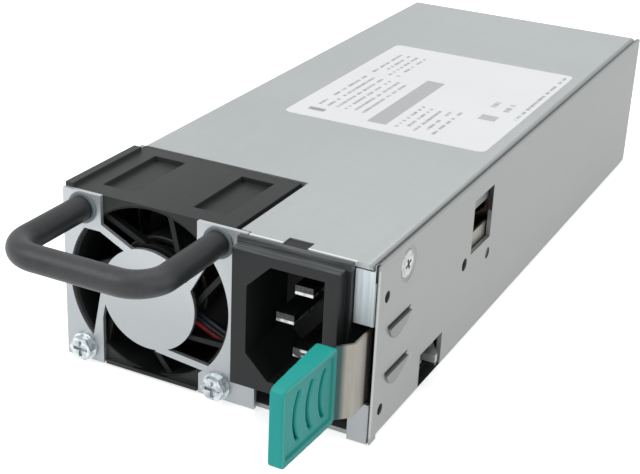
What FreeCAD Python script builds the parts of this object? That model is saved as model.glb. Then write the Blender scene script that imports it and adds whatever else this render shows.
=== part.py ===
"""Hot swap server power supply: a steel case with a fan, a mains inlet, a carrying handle and a side latch.

Places are measured from the case's left front bottom corner: X to the right, Y to the rear, Z up. Every
node is then shifted so that the model's origin is the middle of the case's bottom face.
"""
import FreeCAD, Part
import math
import os
from types import SimpleNamespace

import Sketcher

Vector = FreeCAD.Vector

# Driving sizes in millimetres, degrees or plain counts.
SIZES = {
    # case
    "case_width": 73.5,
    "case_length": 185.0,
    "case_height": 39.5,
    "base_level": 0.0,
    "sheet": 1.0,
    "bend_radius": 1.5,
    "cover_gap": 0.3,
    "cover_flange": 8.0,
    "flange_width": 5.1,
    "corner_radius": 0.4,
    "corner_slit": 0.35,
    "corner_slit_edge": 0.3,
    "corner_slit_depth": 0.6,
    "relief_width": 0.6,
    "relief_depth": 1.2,
    "relief_height": 3.6,
    # cutaways at the front
    "bay_width": 42.5,
    "bay_length": 30.0,
    "bay_floor_width": 41.2,
    "inlet_notch_left": 52.5,
    "inlet_notch_width": 5.5,
    "inlet_notch_depth": 3.0,
    # latch opening beside the inlet and hook window in the right wall
    "latch_slot_bottom": 9.0,
    "latch_slot_height": 17.5,
    "latch_slot_edge": 0.3,
    "latch_slot_depth": 1.7,
    "hook_window_front": 24.3,
    "hook_window_length": 12.2,
    "hook_window_bottom": 0.5,
    "hook_window_height": 8.5,
    # right wall features
    "lance_front": 5.5,
    "lance_length": 11.0,
    "lance_depth": 0.6,
    "lance_height": 4.2,
    "lance_slit": 0.6,
    "upper_lance_top": 24.3,
    "lower_lance_top": 13.8,
    "pin_hole_radius": 1.25,
    "pin_hole_front": 4.3,
    "upper_pin_hole": 31.5,
    "lower_pin_hole": 6.2,
    "peep_hole_radius": 1.5,
    "peep_hole_front": 47.0,
    "peep_hole_level": 21.0,
    "window_front": 50.5,
    "window_length": 12.0,
    "window_bottom": 22.0,
    "window_height": 13.0,
    # rail that carries the cover at the left
    "rail_gap": 0.1,
    "rail_drop": 10.0,
    # cover screws
    "cover_screw_front": 14.0,
    "cover_screw_left_front": 46.0,
    "cover_screw_level": 34.6,
    "dimple_radius": 3.7,
    "screw_clearance": 1.7,
    "countersunk_radius": 3.0,
    "countersunk_height": 0.95,
    "cover_screw_length": 4.0,
    "screw_core": 1.45,
    "thread_gap": 0.03,
    # rear wall
    "rear_slot_left": 6.0,
    "rear_slot_width": 58.0,
    "rear_slot_bottom": 3.0,
    "rear_slot_height": 6.0,
    "vent_radius": 2.0,
    "vent_pitch": 5.4,
    "vent_level_pitch": 5.4,
    "vent_columns": 12,
    "vent_rows": 5,
    "vent_left": 7.0,
    "vent_bottom": 13.0,
    # front panel
    "panel_foot_right": 47.0,
    "panel_foot_height": 7.2,
    "guard_radius": 19.6,
    "disc_radius": 11.5,
    "disc_drop": 1.3,
    "guard_cut_left": 9.5,
    "upper_cut_right": 33.0,
    "lower_cut_right": 33.5,
    "arm_width": 1.6,
    "arm_start": 3.0,
    "arm_end": 19.4,
    "web_width": 1.5,
    "web_top": 12.0,
    "web_bottom": 4.0,
    "handle_pad_bottom": 31.4,
    "upper_left_arm_angle": 153.4,
    "upper_left_offset": 7.1,
    "upper_right_arm_angle": 61.0,
    "upper_right_offset": 6.0,
    "lower_right_arm_angle": -5.7,
    "lower_right_offset": 10.7,
    "lower_left_arm_angle": -101.0,
    "lower_left_offset": 10.7,
    # fan
    "fan_x": 21.0,
    "fan_z": 19.75,
    "fan_width": 40.0,
    "fan_bottom": 0.05,
    "fan_top": 39.3,
    "fan_length": 28.5,
    "fit_gap": 0.1,
    "front_sill_height": 0.9,
    "fan_top_plate": 1.2,
    "fan_top_step": 1.0,
    "fan_lip_height": 1.1,
    "fan_lip_width": 1.9,
    "fan_lip_length": 25.5,
    "bore_radius": 18.9,
    "pocket_front": 6.0,
    "pocket_length": 20.0,
    "pocket_depth": 1.3,
    "left_pocket": 6.0,
    "right_pocket": 28.4,
    "pocket_width": 8.0,
    "screw_recess_radius": 2.6,
    "screw_recess_depth": 3.0,
    "motor_front": 0.9,
    "motor_base_radius": 10.6,
    "motor_base_depth": 1.6,
    "strut_width": 1.5,
    "strut_depth": 1.8,
    "strut_count": 7,
    "strut_turn": 17.0,
    "strut_lean": 6.6,
    "strut_bite": 0.6,
    "bearing_tube_radius": 3.4,
    "bearing_radius": 2.6,
    "bearing_length": 3.0,
    "bearing_tube_length": 14.0,
    "shaft_radius": 1.0,
    "shaft_gap": 0.04,
    "hub_radius": 11.0,
    "hub_wall": 0.8,
    "hub_front": 4.8,
    "hub_length": 17.0,
    "blade_tip_gap": 0.6,
    "blade_thickness": 1.0,
    "blade_span": 13.0,
    "blade_count": 5,
    "blade_margin": 0.8,
    "magnet_wall": 1.1,
    "magnet_length": 9.0,
    "motor_air_gap": 0.5,
    "tooth_width": 2.6,
    "coil_wall": 1.2,
    "core_length": 6.0,
    "core_hub_wall": 1.6,
    "pole_depth": 1.3,
    "core_front": 6.0,
    "motor_board_thick": 0.8,
    "motor_board_radius": 9.6,
    "lead_radius": 0.55,
    "lead_spacing": 1.25,
    "lead_level": 3.9,
    "lead_fall": 0.4663,
    "lead_drop": 0.6,
    "lead_start_gap": 0.15,
    "lead_slot_front": 2.3,
    "lead_slot_length": 6.0,
    "lead_slot_drop": 2.15,
    "lead_slot_height": 6.8,
    "header_front": 33.0,
    "header_width": 4.2,
    "header_length": 5.0,
    "header_height": 6.4,
    # fan screws
    "fan_screw_left": 4.85,
    "fan_screw_right": 38.25,
    "fan_screw_level": 3.2,
    "fan_screw_head_radius": 3.15,
    "fan_screw_flange_height": 0.7,
    "fan_screw_hex_radius": 2.8,
    "fan_screw_head_height": 1.6,
    "fan_screw_core": 1.8,
    "fan_screw_length": 9.0,
    "fan_screw_slot": 0.8,
    # handle
    "handle_left": 5.0,
    "handle_right": 38.0,
    "handle_z": 36.0,
    "handle_reach": 25.2,
    "handle_corner": 6.8,
    "handle_core_radius": 2.0,
    "sleeve_radius": 2.8,
    "sleeve_front": 0.6,
    "collar_radius": 3.5,
    "collar_length": 0.5,
    "collar_gap": 0.1,
    "tapped_depth": 8.0,
    "handle_screw_core": 1.2,
    "handle_screw_hole": 1.5,
    "handle_screw_length": 7.5,
    "handle_screw_head": 2.2,
    "handle_screw_head_height": 1.7,
    # mains inlet
    "inlet_left": 43.1,
    "inlet_width": 25.1,
    "inlet_bottom": 7.2,
    "inlet_height": 32.1,
    "inlet_proud": 4.0,
    "inlet_plate": 1.4,
    "bezel_inset": 0.4,
    "bezel_outer_inset": 1.2,
    "inlet_body_inset": 1.6,
    "inlet_body_depth": 17.0,
    "cavity_centre_x": 55.4,
    "cavity_centre_z": 22.9,
    "cavity_width": 17.0,
    "cavity_height": 25.4,
    "cavity_depth": 17.5,
    "cavity_chamfer": 5.2,
    "blade_wide": 4.0,
    "blade_thick": 2.0,
    "blade_recess": 4.6,
    "blade_pair_pitch": 14.0,
    "blade_pair_offset": 1.9,
    "earth_offset": 4.0,
    "tail_length": 5.0,
    # latch
    "latch_inset": 1.6,
    "latch_z": 17.6,
    "strip_height": 16.2,
    "strip_thick": 0.5,
    "strip_pivot": 62.0,
    "strip_root_end": 4.5,
    "strip_bend": 6.2,
    "strip_jog": 4.0,
    "strip_jog_length": 4.2,
    "strip_tip": 27.0,
    "hook_front": 29.6,
    "hook_length": 5.6,
    "hook_flat": 1.2,
    "hook_leg": 2.4,
    "hook_proud": 1.4,
    "hook_bottom": 4.2,
    "hook_height": 2.5,
    "grip_back": 9.2,
    "grip_length": 20.2,
    "grip_height": 16.8,
    "grip_back_left": 6.3,
    "grip_back_right": 2.0,
    "grip_front_left": 5.7,
    "grip_front_right": 2.8,
    "grip_border": 1.6,
    "grip_recess": 0.5,
    "rib_width": 0.9,
    "rib_pitch": 4.7,
    "rib_first": 5.6,
    "rib_count": 3,
    "rib_height": 10.6,
    "rib_curve": 9.4,
    "rib_depth": 0.4,
    "rivet_level": 18.0,
    "rivet_radius": 1.32,
    "rivet_hole_gap": 0.03,
    "rivet_swing_gap": 0.4,
    "rivet_head_radius": 2.4,
    "rivet_head_height": 0.9,
    "rivet_end_recess": 0.3,
    # rating label
    "label_left": 15.6,
    "label_front": 68.4,
    "label_width": 52.6,
    "label_length": 68.6,
    "label_corner": 1.8,
    "label_thick": 0.12,
    # main board
    "board_left": 2.4,
    "board_right": 69.0,
    "board_front_gap": 1.9,
    "board_rear_gap": 1.5,
    "board_thick": 1.6,
    "standoff_height": 4.0,
    "standoff_radius": 2.6,
    "standoff_inset": 4.0,
    "board_screw_core": 1.25,
    "board_screw_head": 2.5,
    "board_screw_head_height": 1.6,
    "board_screw_length": 4.5,
    "board_hole_radius": 1.5,
    "insulator_thick": 0.4,
    "insulator_inset": 0.8,
    "layout_front": 31.5,
    "layout_rear_gap": 7.0,
    "tongue_left": 8.0,
    "tongue_width": 54.0,
    "tongue_length": 9.0,
    "contact_width": 1.9,
    "contact_pitch": 3.4,
    "contact_count": 15,
    "contact_length": 7.0,
    "contact_thick": 0.1,
    "contact_end": 0.8,
    # mains side of the board
    "mains_lead_radius": 0.7,
    "mains_lead_run": 6.0,
    "terminal_left": 48.0,
    "terminal_front": 44.0,
    "terminal_width": 14.0,
    "terminal_length": 8.0,
    "terminal_height": 9.0,
    "terminal_pitch": 4.4,
    "terminal_entry": 4.0,
    "emi_choke_x": 18.0,
    "emi_choke_y": 47.5,
    "emi_choke_radius": 8.0,
    "emi_choke_wire": 4.2,
    "x_capacitor_left": 32.0,
    "x_capacitor_front": 40.0,
    "x_capacitor_width": 7.0,
    "x_capacitor_length": 20.0,
    "x_capacitor_height": 15.0,
    "fuse_x": 44.0,
    "fuse_front": 41.0,
    "fuse_radius": 2.6,
    "fuse_length": 20.0,
    "y_capacitor_x": 51.0,
    "y_capacitor_pitch": 10.0,
    "y_capacitor_front": 55.5,
    "y_capacitor_radius": 4.0,
    "y_capacitor_thick": 3.0,
    "rectifier_left": 42.0,
    "rectifier_front": 64.0,
    "rectifier_width": 20.0,
    "rectifier_thick": 4.0,
    "rectifier_height": 18.0,
    # power factor stage
    "bulk_x": 17.0,
    "bulk_front": 64.0,
    "bulk_radius": 12.5,
    "bulk_length": 44.0,
    "bulk_rim": 1.5,
    "pfc_choke_x": 54.0,
    "pfc_choke_y": 91.0,
    "pfc_choke_radius": 8.8,
    "pfc_choke_wire": 4.8,
    "heatsink_thick": 2.0,
    "heatsink_height": 26.0,
    "fin_depth": 3.0,
    "fin_thick": 1.0,
    "fin_count": 5,
    "primary_sink_x": 33.0,
    "primary_sink_front": 66.0,
    "primary_sink_length": 44.0,
    "transistor_width": 10.0,
    "transistor_thick": 4.4,
    "transistor_height": 15.0,
    "transistor_lift": 4.0,
    "transistor_pitch": 13.0,
    "primary_transistor_count": 3,
    # conversion
    "transformer_left": 8.0,
    "transformer_front": 118.0,
    "transformer_width": 32.0,
    "transformer_depth": 16.0,
    "transformer_height": 26.0,
    "transformer_leg": 9.0,
    "transformer_side": 5.0,
    "transformer_plate": 4.5,
    "winding_gap": 0.4,
    "inductor_left": 44.5,
    "inductor_front": 116.0,
    "inductor_side": 17.0,
    "inductor_height": 15.0,
    "secondary_sink_left": 10.0,
    "secondary_sink_y": 150.0,
    "secondary_sink_length": 48.0,
    "secondary_transistor_count": 3,
    "output_capacitor_x": 13.0,
    "output_capacitor_y": 161.5,
    "output_capacitor_radius": 4.0,
    "output_capacitor_height": 14.0,
    "output_capacitor_pitch": 10.0,
    "output_capacitor_columns": 5,
    "output_capacitor_rows": 2,
    "control_board_x": 65.6,
    "control_board_front": 113.0,
    "control_board_length": 48.0,
    "control_board_height": 24.0,
    "control_board_thick": 1.2,
    "chip_side": 7.0,
    "chip_thick": 1.2,
    "chip_pitch": 12.0,
    "chip_count": 3,
    "chip_level": 8.0,
}


class Size:
    """A number together with the expression that gives it from the sheet."""

    def __init__(self, value, text):
        self.value = value
        self.text = text

    def joined(self, other, sign, value):
        return Size(value, f"({self.text} {sign} {size(other).text})")

    def __add__(self, other):
        return self.joined(other, "+", self.value + size(other).value)

    def __sub__(self, other):
        return self.joined(other, "-", self.value - size(other).value)

    def __mul__(self, other):
        return self.joined(other, "*", self.value * size(other).value)

    def __truediv__(self, other):
        return self.joined(other, "/", self.value / size(other).value)

    def __radd__(self, other):
        return size(other) + self

    def __rsub__(self, other):
        return size(other) - self

    def __rmul__(self, other):
        return size(other) * self

    def __neg__(self):
        return Size(-self.value, f"(0 - {self.text})")


def size(number):
    """A plain number as a Size."""
    return number if isinstance(number, Size) else Size(float(number), str(number))


doc = FreeCAD.newDocument("power_supply")
sheet = doc.addObject("Spreadsheet::Sheet", "Dims")
for row, (alias, number) in enumerate(SIZES.items(), start=1):
    sheet.set(f"A{row}", alias)
    sheet.set(f"B{row}", str(number))
    sheet.setAlias(f"B{row}", alias)
doc.recompute()

d = SimpleNamespace(**{alias: Size(number, f"Dims.{alias}") for alias, number in SIZES.items()})
nodes = []


# ---- helpers -------------------------------------------------------------------------------------

def bind(thing, prop, value):
    """Sets a property to a size, by expression when the size comes from the sheet."""
    value = size(value)
    if "Dims." in value.text:
        thing.setExpression(prop, value.text)
    elif prop.isalnum():
        setattr(thing, prop, value.value)


def place(thing, x, y, z):
    """Puts an object at a point measured from the case's left front bottom corner."""
    bind(thing, "Placement.Base.x", size(x) - d.case_width / 2)
    bind(thing, "Placement.Base.y", size(y) - d.case_length / 2)
    bind(thing, "Placement.Base.z", size(z) + d.base_level)
    return thing


def box(name, corner, sides):
    """A block from its lowest corner and its three sides."""
    block = doc.addObject("Part::Box", name)
    bind(block, "Length", sides[0])
    bind(block, "Width", sides[1])
    bind(block, "Height", sides[2])
    return place(block, *corner)


AXES = {
    "x": FreeCAD.Rotation(Vector(0, 1, 0), 90),
    "y": FreeCAD.Rotation(Vector(1, 0, 0), -90),
    "z": FreeCAD.Rotation(),
}


def rod(name, axis, centre, radius, length):
    """A cylinder that runs from the centre of one end along +X, +Y or +Z."""
    cylinder = doc.addObject("Part::Cylinder", name)
    cylinder.Placement = FreeCAD.Placement(Vector(), AXES[axis])
    bind(cylinder, "Radius", radius)
    bind(cylinder, "Height", length)
    return place(cylinder, *centre)


def cone(name, axis, centre, radius, end_radius, length):
    """A frustum that runs from the centre of one end along +X, +Y or +Z."""
    frustum = doc.addObject("Part::Cone", name)
    frustum.Placement = FreeCAD.Placement(Vector(), AXES[axis])
    bind(frustum, "Radius1", radius)
    bind(frustum, "Radius2", end_radius)
    bind(frustum, "Height", length)
    return place(frustum, *centre)


def joined(name, pieces):
    """Several shapes fused to one."""
    fuse = doc.addObject("Part::MultiFuse", name)
    fuse.Shapes = pieces
    return fuse


def group(name, pieces):
    """Several separate solids in one node."""
    compound = doc.addObject("Part::Compound", name)
    compound.Links = pieces
    return compound


def cut(name, base, tools):
    """A shape with other shapes taken out of it."""
    result = doc.addObject("Part::Cut", name)
    result.Base = base
    result.Tool = tools[0] if len(tools) == 1 else joined(name + "_cutter", tools)
    return result


def common(name, first, second):
    """What two shapes share."""
    result = doc.addObject("Part::Common", name)
    result.Base = first
    result.Tool = second
    return result


def tube(name, axis, centre, radius, bore, length):
    """A ring or sleeve."""
    outer = rod(name + "_outer", axis, centre, radius, length)
    return cut(name, outer, [rod(name + "_bore", axis, centre, bore, length)])


def body(name, x=0, y=0, z=0):
    """An empty PartDesign body whose own origin is at a point of the case."""
    return place(doc.addObject("PartDesign::Body", name), x, y, z)


def turn(thing, angle):
    """Turns an object about its own Y axis, from +X toward +Z when the angle is positive."""
    upward = angle.value >= 0
    amount = angle if upward else -angle
    thing.Placement.Rotation = FreeCAD.Rotation(Vector(0, -1 if upward else 1, 0), amount.value)
    bind(thing, "Placement.Rotation.Angle", amount)
    return thing


def sketch_on(owner, plane, name, level=0):
    """A sketch parallel to an origin plane of its body, level further along +X, +Y or +Z."""
    sketch = owner.newObject("Sketcher::SketchObject", name)
    support = next(f for f in owner.Origin.OriginFeatures if f.Role == plane)
    sketch.AttachmentSupport = (support, [""])
    sketch.MapMode = "FlatFace"
    level = size(level)
    bind(sketch, "AttachmentOffset.Base.z", -level if plane == "XZ_Plane" else level)
    return sketch


def pin_vertex(sketch, geometry, end, x, y):
    """Fixes one end of a sketch line at (x, y)."""
    for kind, value in (("DistanceX", x), ("DistanceY", y)):
        index = sketch.addConstraint(Sketcher.Constraint(kind, -1, 1, geometry, end, value.value))
        bind(sketch, f"Constraints[{index}]", value)


def shifted(corner, other, radius):
    """The point a radius away from a corner, along the axis toward a neighbouring corner."""
    x, y = size(corner[0]), size(corner[1])
    across = size(other[0]).value - x.value
    along = size(other[1]).value - y.value
    if abs(across) > abs(along):
        return (x + radius if across > 0 else x - radius), y
    return x, (y + radius if along > 0 else y - radius)


def outline(sketch, corners):
    """A closed outline through (x, y) or (x, y, radius); the sides at a rounded corner lie along the axes."""
    ends = []
    for index, corner in enumerate(corners):
        if len(corner) == 2:
            point = (size(corner[0]), size(corner[1]))
            ends.append((point, point))
        else:
            before = shifted(corner, corners[index - 1], corner[2])
            after = shifted(corner, corners[(index + 1) % len(corners)], corner[2])
            ends.append((before, after))
    lines = []
    for index in range(len(corners)):
        start = ends[index][1]
        stop = ends[(index + 1) % len(corners)][0]
        lines.append(sketch.addGeometry(Part.LineSegment(
            Vector(start[0].value, start[1].value, 0), Vector(stop[0].value, stop[1].value, 0))))
    for index, corner in enumerate(corners):
        line = lines[index]
        previous = lines[index - 1]
        pin_vertex(sketch, line, 1, *ends[index][1])
        if len(corner) == 2:
            sketch.addConstraint(Sketcher.Constraint("Coincident", previous, 2, line, 1))
        else:
            pin_vertex(sketch, previous, 2, *ends[index][0])
            round_corner(sketch, previous, line, ends[index], corner)


def round_corner(sketch, previous, line, ends, corner):
    """The quarter arc between two sides of an outline."""
    first = Vector(ends[0][0].value, ends[0][1].value, 0)
    last = Vector(ends[1][0].value, ends[1][1].value, 0)
    centre = first + last - Vector(size(corner[0]).value, size(corner[1]).value, 0)
    from_angle = math.atan2(first.y - centre.y, first.x - centre.x)
    to_angle = math.atan2(last.y - centre.y, last.x - centre.x)
    counter_clockwise = (to_angle - from_angle) % (2 * math.pi) < math.pi
    angles = (from_angle, to_angle) if counter_clockwise else (to_angle, from_angle)
    circle = Part.Circle(centre, Vector(0, 0, 1), size(corner[2]).value)
    arc = sketch.addGeometry(Part.ArcOfCircle(circle, *angles))
    before, after = (1, 2) if counter_clockwise else (2, 1)
    sketch.addConstraint(Sketcher.Constraint("Coincident", previous, 2, arc, before))
    sketch.addConstraint(Sketcher.Constraint("Coincident", arc, after, line, 1))
    radius = sketch.addConstraint(Sketcher.Constraint("Radius", arc, size(corner[2]).value))
    bind(sketch, f"Constraints[{radius}]", corner[2])


def disc(sketch, x, y, radius):
    """A full circle in a sketch."""
    x, y, radius = size(x), size(y), size(radius)
    circle = sketch.addGeometry(Part.Circle(Vector(x.value, y.value, 0), Vector(0, 0, 1), radius.value))
    pin_vertex(sketch, circle, 3, x, y)
    index = sketch.addConstraint(Sketcher.Constraint("Radius", circle, radius.value))
    bind(sketch, f"Constraints[{index}]", radius)


def rectangle(sketch, x, y, width, height):
    """A rectangle in a sketch from its lowest corner."""
    x, y = size(x), size(y)
    outline(sketch, [(x, y), (x + width, y), (x + width, y + height), (x, y + height)])


def pad(owner, sketch, name, length):
    """Material from a sketch toward +X, +Y or +Z."""
    feature = owner.newObject("PartDesign::Pad", name)
    feature.Profile = sketch
    bind(feature, "Length", length)
    feature.Reversed = sketch.AttachmentSupport[0][0].Role == "XZ_Plane"
    return feature


def pocket(owner, sketch, name, length):
    """A hollow from a sketch toward +X, +Y or +Z."""
    feature = owner.newObject("PartDesign::Pocket", name)
    feature.Profile = sketch
    bind(feature, "Length", length)
    feature.Reversed = sketch.AttachmentSupport[0][0].Role != "XZ_Plane"
    return feature


def node(thing):
    """Marks an object as a finished piece of the power supply."""
    nodes.append(thing)
    return thing


# ---- shares of the case --------------------------------------------------------------------------

def smaller(first, second):
    """The smaller of two sizes."""
    return Size(min(first.value, second.value), f"min({first.text}; {second.text})")


def follow(share, names):
    """Makes the named sizes keep their share of the case."""
    for name in names.split():
        setattr(d, name, getattr(d, name) * share)


FAN_FRONT = d.sheet + d.fit_gap
BOARD_FRONT = FAN_FRONT + d.fan_length + d.board_front_gap
BOARD_REAR = d.case_length - d.sheet - d.board_rear_gap
FRONT_ROW = d.fan_width + d.inlet_width + d.flange_width + d.sheet * 3 + d.fit_gap * 3
INLET_STACK = d.inlet_bottom + d.inlet_height + d.fit_gap * 2
LAYOUT_REAR = d.output_capacitor_y + d.output_capacitor_pitch + d.output_capacitor_radius + d.layout_rear_gap
WIDER = d.case_width / FRONT_ROW
HIGHER = d.case_height / INLET_STACK
LONGER = (BOARD_REAR - BOARD_FRONT) / (LAYOUT_REAR - d.layout_front)
ROUNDER = smaller(WIDER, HIGHER)
SMALLER = smaller(smaller(WIDER, HIGHER), LONGER)

follow(WIDER, """
    bay_width bay_floor_width inlet_notch_left inlet_notch_width rear_slot_left rear_slot_width
    vent_left vent_pitch panel_foot_right guard_cut_left upper_cut_right lower_cut_right fan_x fan_width
    fan_screw_left fan_screw_right left_pocket right_pocket pocket_width handle_left handle_right
    inlet_left inlet_width cavity_centre_x cavity_width blade_wide blade_pair_offset earth_offset
    label_left label_width board_left board_right tongue_left tongue_width contact_width contact_pitch
    header_width terminal_left terminal_width terminal_pitch emi_choke_x x_capacitor_left
    x_capacitor_width fuse_x y_capacitor_x y_capacitor_pitch rectifier_left rectifier_width bulk_x
    pfc_choke_x primary_sink_x transformer_left transformer_width transformer_leg transformer_side
    inductor_left secondary_sink_left secondary_sink_length output_capacitor_x control_board_x
""")
follow(HIGHER, """
    latch_slot_bottom latch_slot_height hook_window_bottom hook_window_height upper_lance_top
    lower_lance_top upper_pin_hole lower_pin_hole peep_hole_level window_bottom window_height
    cover_screw_level rear_slot_bottom rear_slot_height vent_bottom vent_level_pitch panel_foot_height
    web_bottom web_top handle_pad_bottom fan_z fan_bottom fan_top fan_screw_level handle_z inlet_bottom
    inlet_height cavity_centre_z cavity_height blade_pair_pitch latch_z strip_height hook_bottom
    hook_height grip_height rib_height rivet_level header_height terminal_height terminal_entry
    x_capacitor_height rectifier_height heatsink_height transistor_height transformer_height
    transformer_plate inductor_height output_capacitor_height control_board_height chip_level
    standoff_height lead_fall
""")
d.lead_fall = d.lead_fall / WIDER
follow(LONGER, """
    x_capacitor_length fuse_length y_capacitor_thick bulk_length primary_sink_length transformer_depth
    control_board_length chip_pitch terminal_length
""")
follow(ROUNDER, """
    guard_radius disc_radius disc_drop arm_end upper_left_offset upper_right_offset lower_right_offset
    lower_left_offset bore_radius motor_base_radius hub_radius motor_board_radius cavity_chamfer
    blade_span vent_radius bearing_tube_radius bearing_radius shaft_radius core_hub_wall pole_depth
    magnet_wall motor_air_gap hub_wall tooth_width coil_wall
""")
follow(SMALLER, """
    emi_choke_radius emi_choke_wire y_capacitor_radius bulk_radius pfc_choke_radius pfc_choke_wire
    transistor_width transistor_pitch inductor_side output_capacitor_radius output_capacitor_pitch
    chip_side
""")
for place_name in """
    terminal_front header_front emi_choke_y x_capacitor_front fuse_front y_capacitor_front rectifier_front
    bulk_front pfc_choke_y primary_sink_front transformer_front inductor_front secondary_sink_y
    output_capacitor_y control_board_front
""".split():
    setattr(d, place_name, BOARD_FRONT + (getattr(d, place_name) - d.layout_front) * LONGER)


# ---- shared places -------------------------------------------------------------------------------

PANEL_RIGHT = d.inlet_left + d.inlet_body_inset - d.fit_gap
RAIL_LEFT = d.sheet + d.rail_gap
COVER_RIGHT = d.case_width - d.sheet - d.cover_gap
COVER_EDGE = d.case_height - d.cover_flange
UNDER_COVER = d.case_height - d.sheet - d.cover_gap
DISC_Z = d.fan_z - d.disc_drop
FAN_RIGHT = d.fan_x + d.fan_width / 2
BOARD_BOTTOM = d.sheet + d.standoff_height
BOARD_TOP = BOARD_BOTTOM + d.board_thick
INLET_BACK = d.inlet_body_depth
BLADE_X = d.cavity_centre_x + d.blade_pair_offset
EARTH_X = BLADE_X - d.earth_offset
HALF_STRIP = d.strip_thick / 2
HUB_INSIDE = d.hub_radius - d.hub_wall
MAGNET_BORE = HUB_INSIDE - d.magnet_wall
STATOR_RADIUS = MAGNET_BORE - d.motor_air_gap
LEAD_X = (FAN_RIGHT + d.inlet_left + d.inlet_body_inset) / 2
LEAD_Z = d.fan_z - d.lead_drop - (LEAD_X - d.fan_x) * d.lead_fall
LATCH_X = d.case_width - d.latch_inset
GRIP_BACK_LEFT = LATCH_X - d.grip_back_left
GRIP_BACK_RIGHT = LATCH_X - d.grip_back_right
GRIP_FRONT_LEFT = LATCH_X - d.grip_front_left
GRIP_FRONT_RIGHT = LATCH_X - d.grip_front_right


# ---- case ----------------------------------------------------------------------------------------

def tray_shell():
    """Floor, side walls and rear wall folded from one sheet, with the narrow front flange at the right."""
    inner = d.bend_radius - d.sheet
    shell = body("tray_shell")
    profile = sketch_on(shell, "XZ_Plane", "tray_profile", d.bend_radius)
    outline(profile, [
        (0, 0, d.bend_radius),
        (d.case_width, 0, d.bend_radius),
        (d.case_width, d.case_height),
        (d.case_width - d.sheet, d.case_height),
        (d.case_width - d.sheet, d.sheet, inner),
        (d.sheet, d.sheet, inner),
        (d.sheet, d.case_height),
        (0, d.case_height),
    ])
    pad(shell, profile, "tray_fold", d.case_length - d.bend_radius)
    flange = sketch_on(shell, "XY_Plane", "flange_profile")
    outline(flange, [
        (d.case_width - d.flange_width, 0),
        (d.case_width, 0, d.corner_radius),
        (d.case_width, d.bend_radius * 2),
        (d.case_width - d.sheet, d.bend_radius * 2),
        (d.case_width - d.sheet, d.sheet),
        (d.case_width - d.flange_width, d.sheet),
    ])
    pad(shell, flange, "front_flange", d.case_height)
    rear = sketch_on(shell, "XZ_Plane", "rear_profile", d.case_length - d.sheet)
    rectangle(rear, d.sheet, d.sheet, d.case_width - d.sheet * 2, d.case_height - d.sheet * 2)
    pad(shell, rear, "rear_wall", d.sheet)
    vent = sketch_on(shell, "XZ_Plane", "vent_circle", d.case_length - d.sheet)
    disc(vent, d.vent_left, d.vent_bottom, d.vent_radius)
    vent_pattern(shell, pocket(shell, vent, "vent", d.sheet))
    return shell


def vent_pattern(shell, vent):
    """The rear wall's rows and columns of round vents."""
    grid = shell.newObject("PartDesign::MultiTransform", "vents")
    grid.Originals = [vent]
    steps = []
    for name, role, pitch, count in (
        ("vent_row", "X_Axis", d.vent_pitch, d.vent_columns),
        ("vent_column", "Z_Axis", d.vent_level_pitch, d.vent_rows),
    ):
        step = shell.newObject("PartDesign::LinearPattern", name)
        step.Direction = (next(f for f in shell.Origin.OriginFeatures if f.Role == role), [""])
        bind(step, "Length", pitch * (count - 1))
        bind(step, "Occurrences", count)
        steps.append(step)
    grid.Transformations = steps
    shell.Tip = grid


def lance_block(name, top, depth):
    """The D-shaped area of a side lance, flat at the top, as a solid through the wall."""
    radius = (d.lance_length * d.lance_length / 4 + d.lance_height * d.lance_height) / (d.lance_height * 2)
    middle = d.lance_front + d.lance_length / 2
    back = d.case_width - d.sheet - depth
    round_part = rod(name + "_round", "x", (back, middle, top - d.lance_height + radius), radius,
                     d.sheet + depth * 2)
    square_part = box(name + "_square", (back, d.lance_front, top - d.lance_height),
                      (d.sheet + depth * 2, d.lance_length, d.lance_height))
    return common(name, round_part, square_part)


def lance_tongue(name, top):
    """The lance's own metal, pushed outward toward its upper edge."""
    foot = top - d.lance_height
    tongue = body(name + "_slab")
    profile = sketch_on(tongue, "XZ_Plane", name + "_profile", d.lance_front)
    outline(profile, [
        (d.case_width - d.sheet, foot),
        (d.case_width, foot),
        (d.case_width + d.lance_depth, top - d.lance_slit),
        (d.case_width + d.lance_depth - d.sheet, top - d.lance_slit),
    ])
    pad(tongue, profile, name + "_pad", d.lance_length)
    return common(name + "_tongue", tongue, lance_block(name + "_outline", top, d.lance_depth * 2))


def wall_hole(name, y, z, radius):
    """A round hole through the right wall."""
    return rod(name, "x", (d.case_width - d.sheet * 2, y, z), radius, d.sheet * 3)


def dimple(name, side):
    """The countersunk seat of a cover screw, in the tray's right wall or the cover's left side."""
    if side == "right":
        return cone(name, "x", (d.case_width - d.sheet, d.cover_screw_front, d.cover_screw_level),
                    d.screw_clearance, d.dimple_radius, d.sheet)
    return cone(name, "x", (0, d.cover_screw_left_front, d.cover_screw_level),
                d.dimple_radius, d.screw_clearance, d.sheet)


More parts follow.
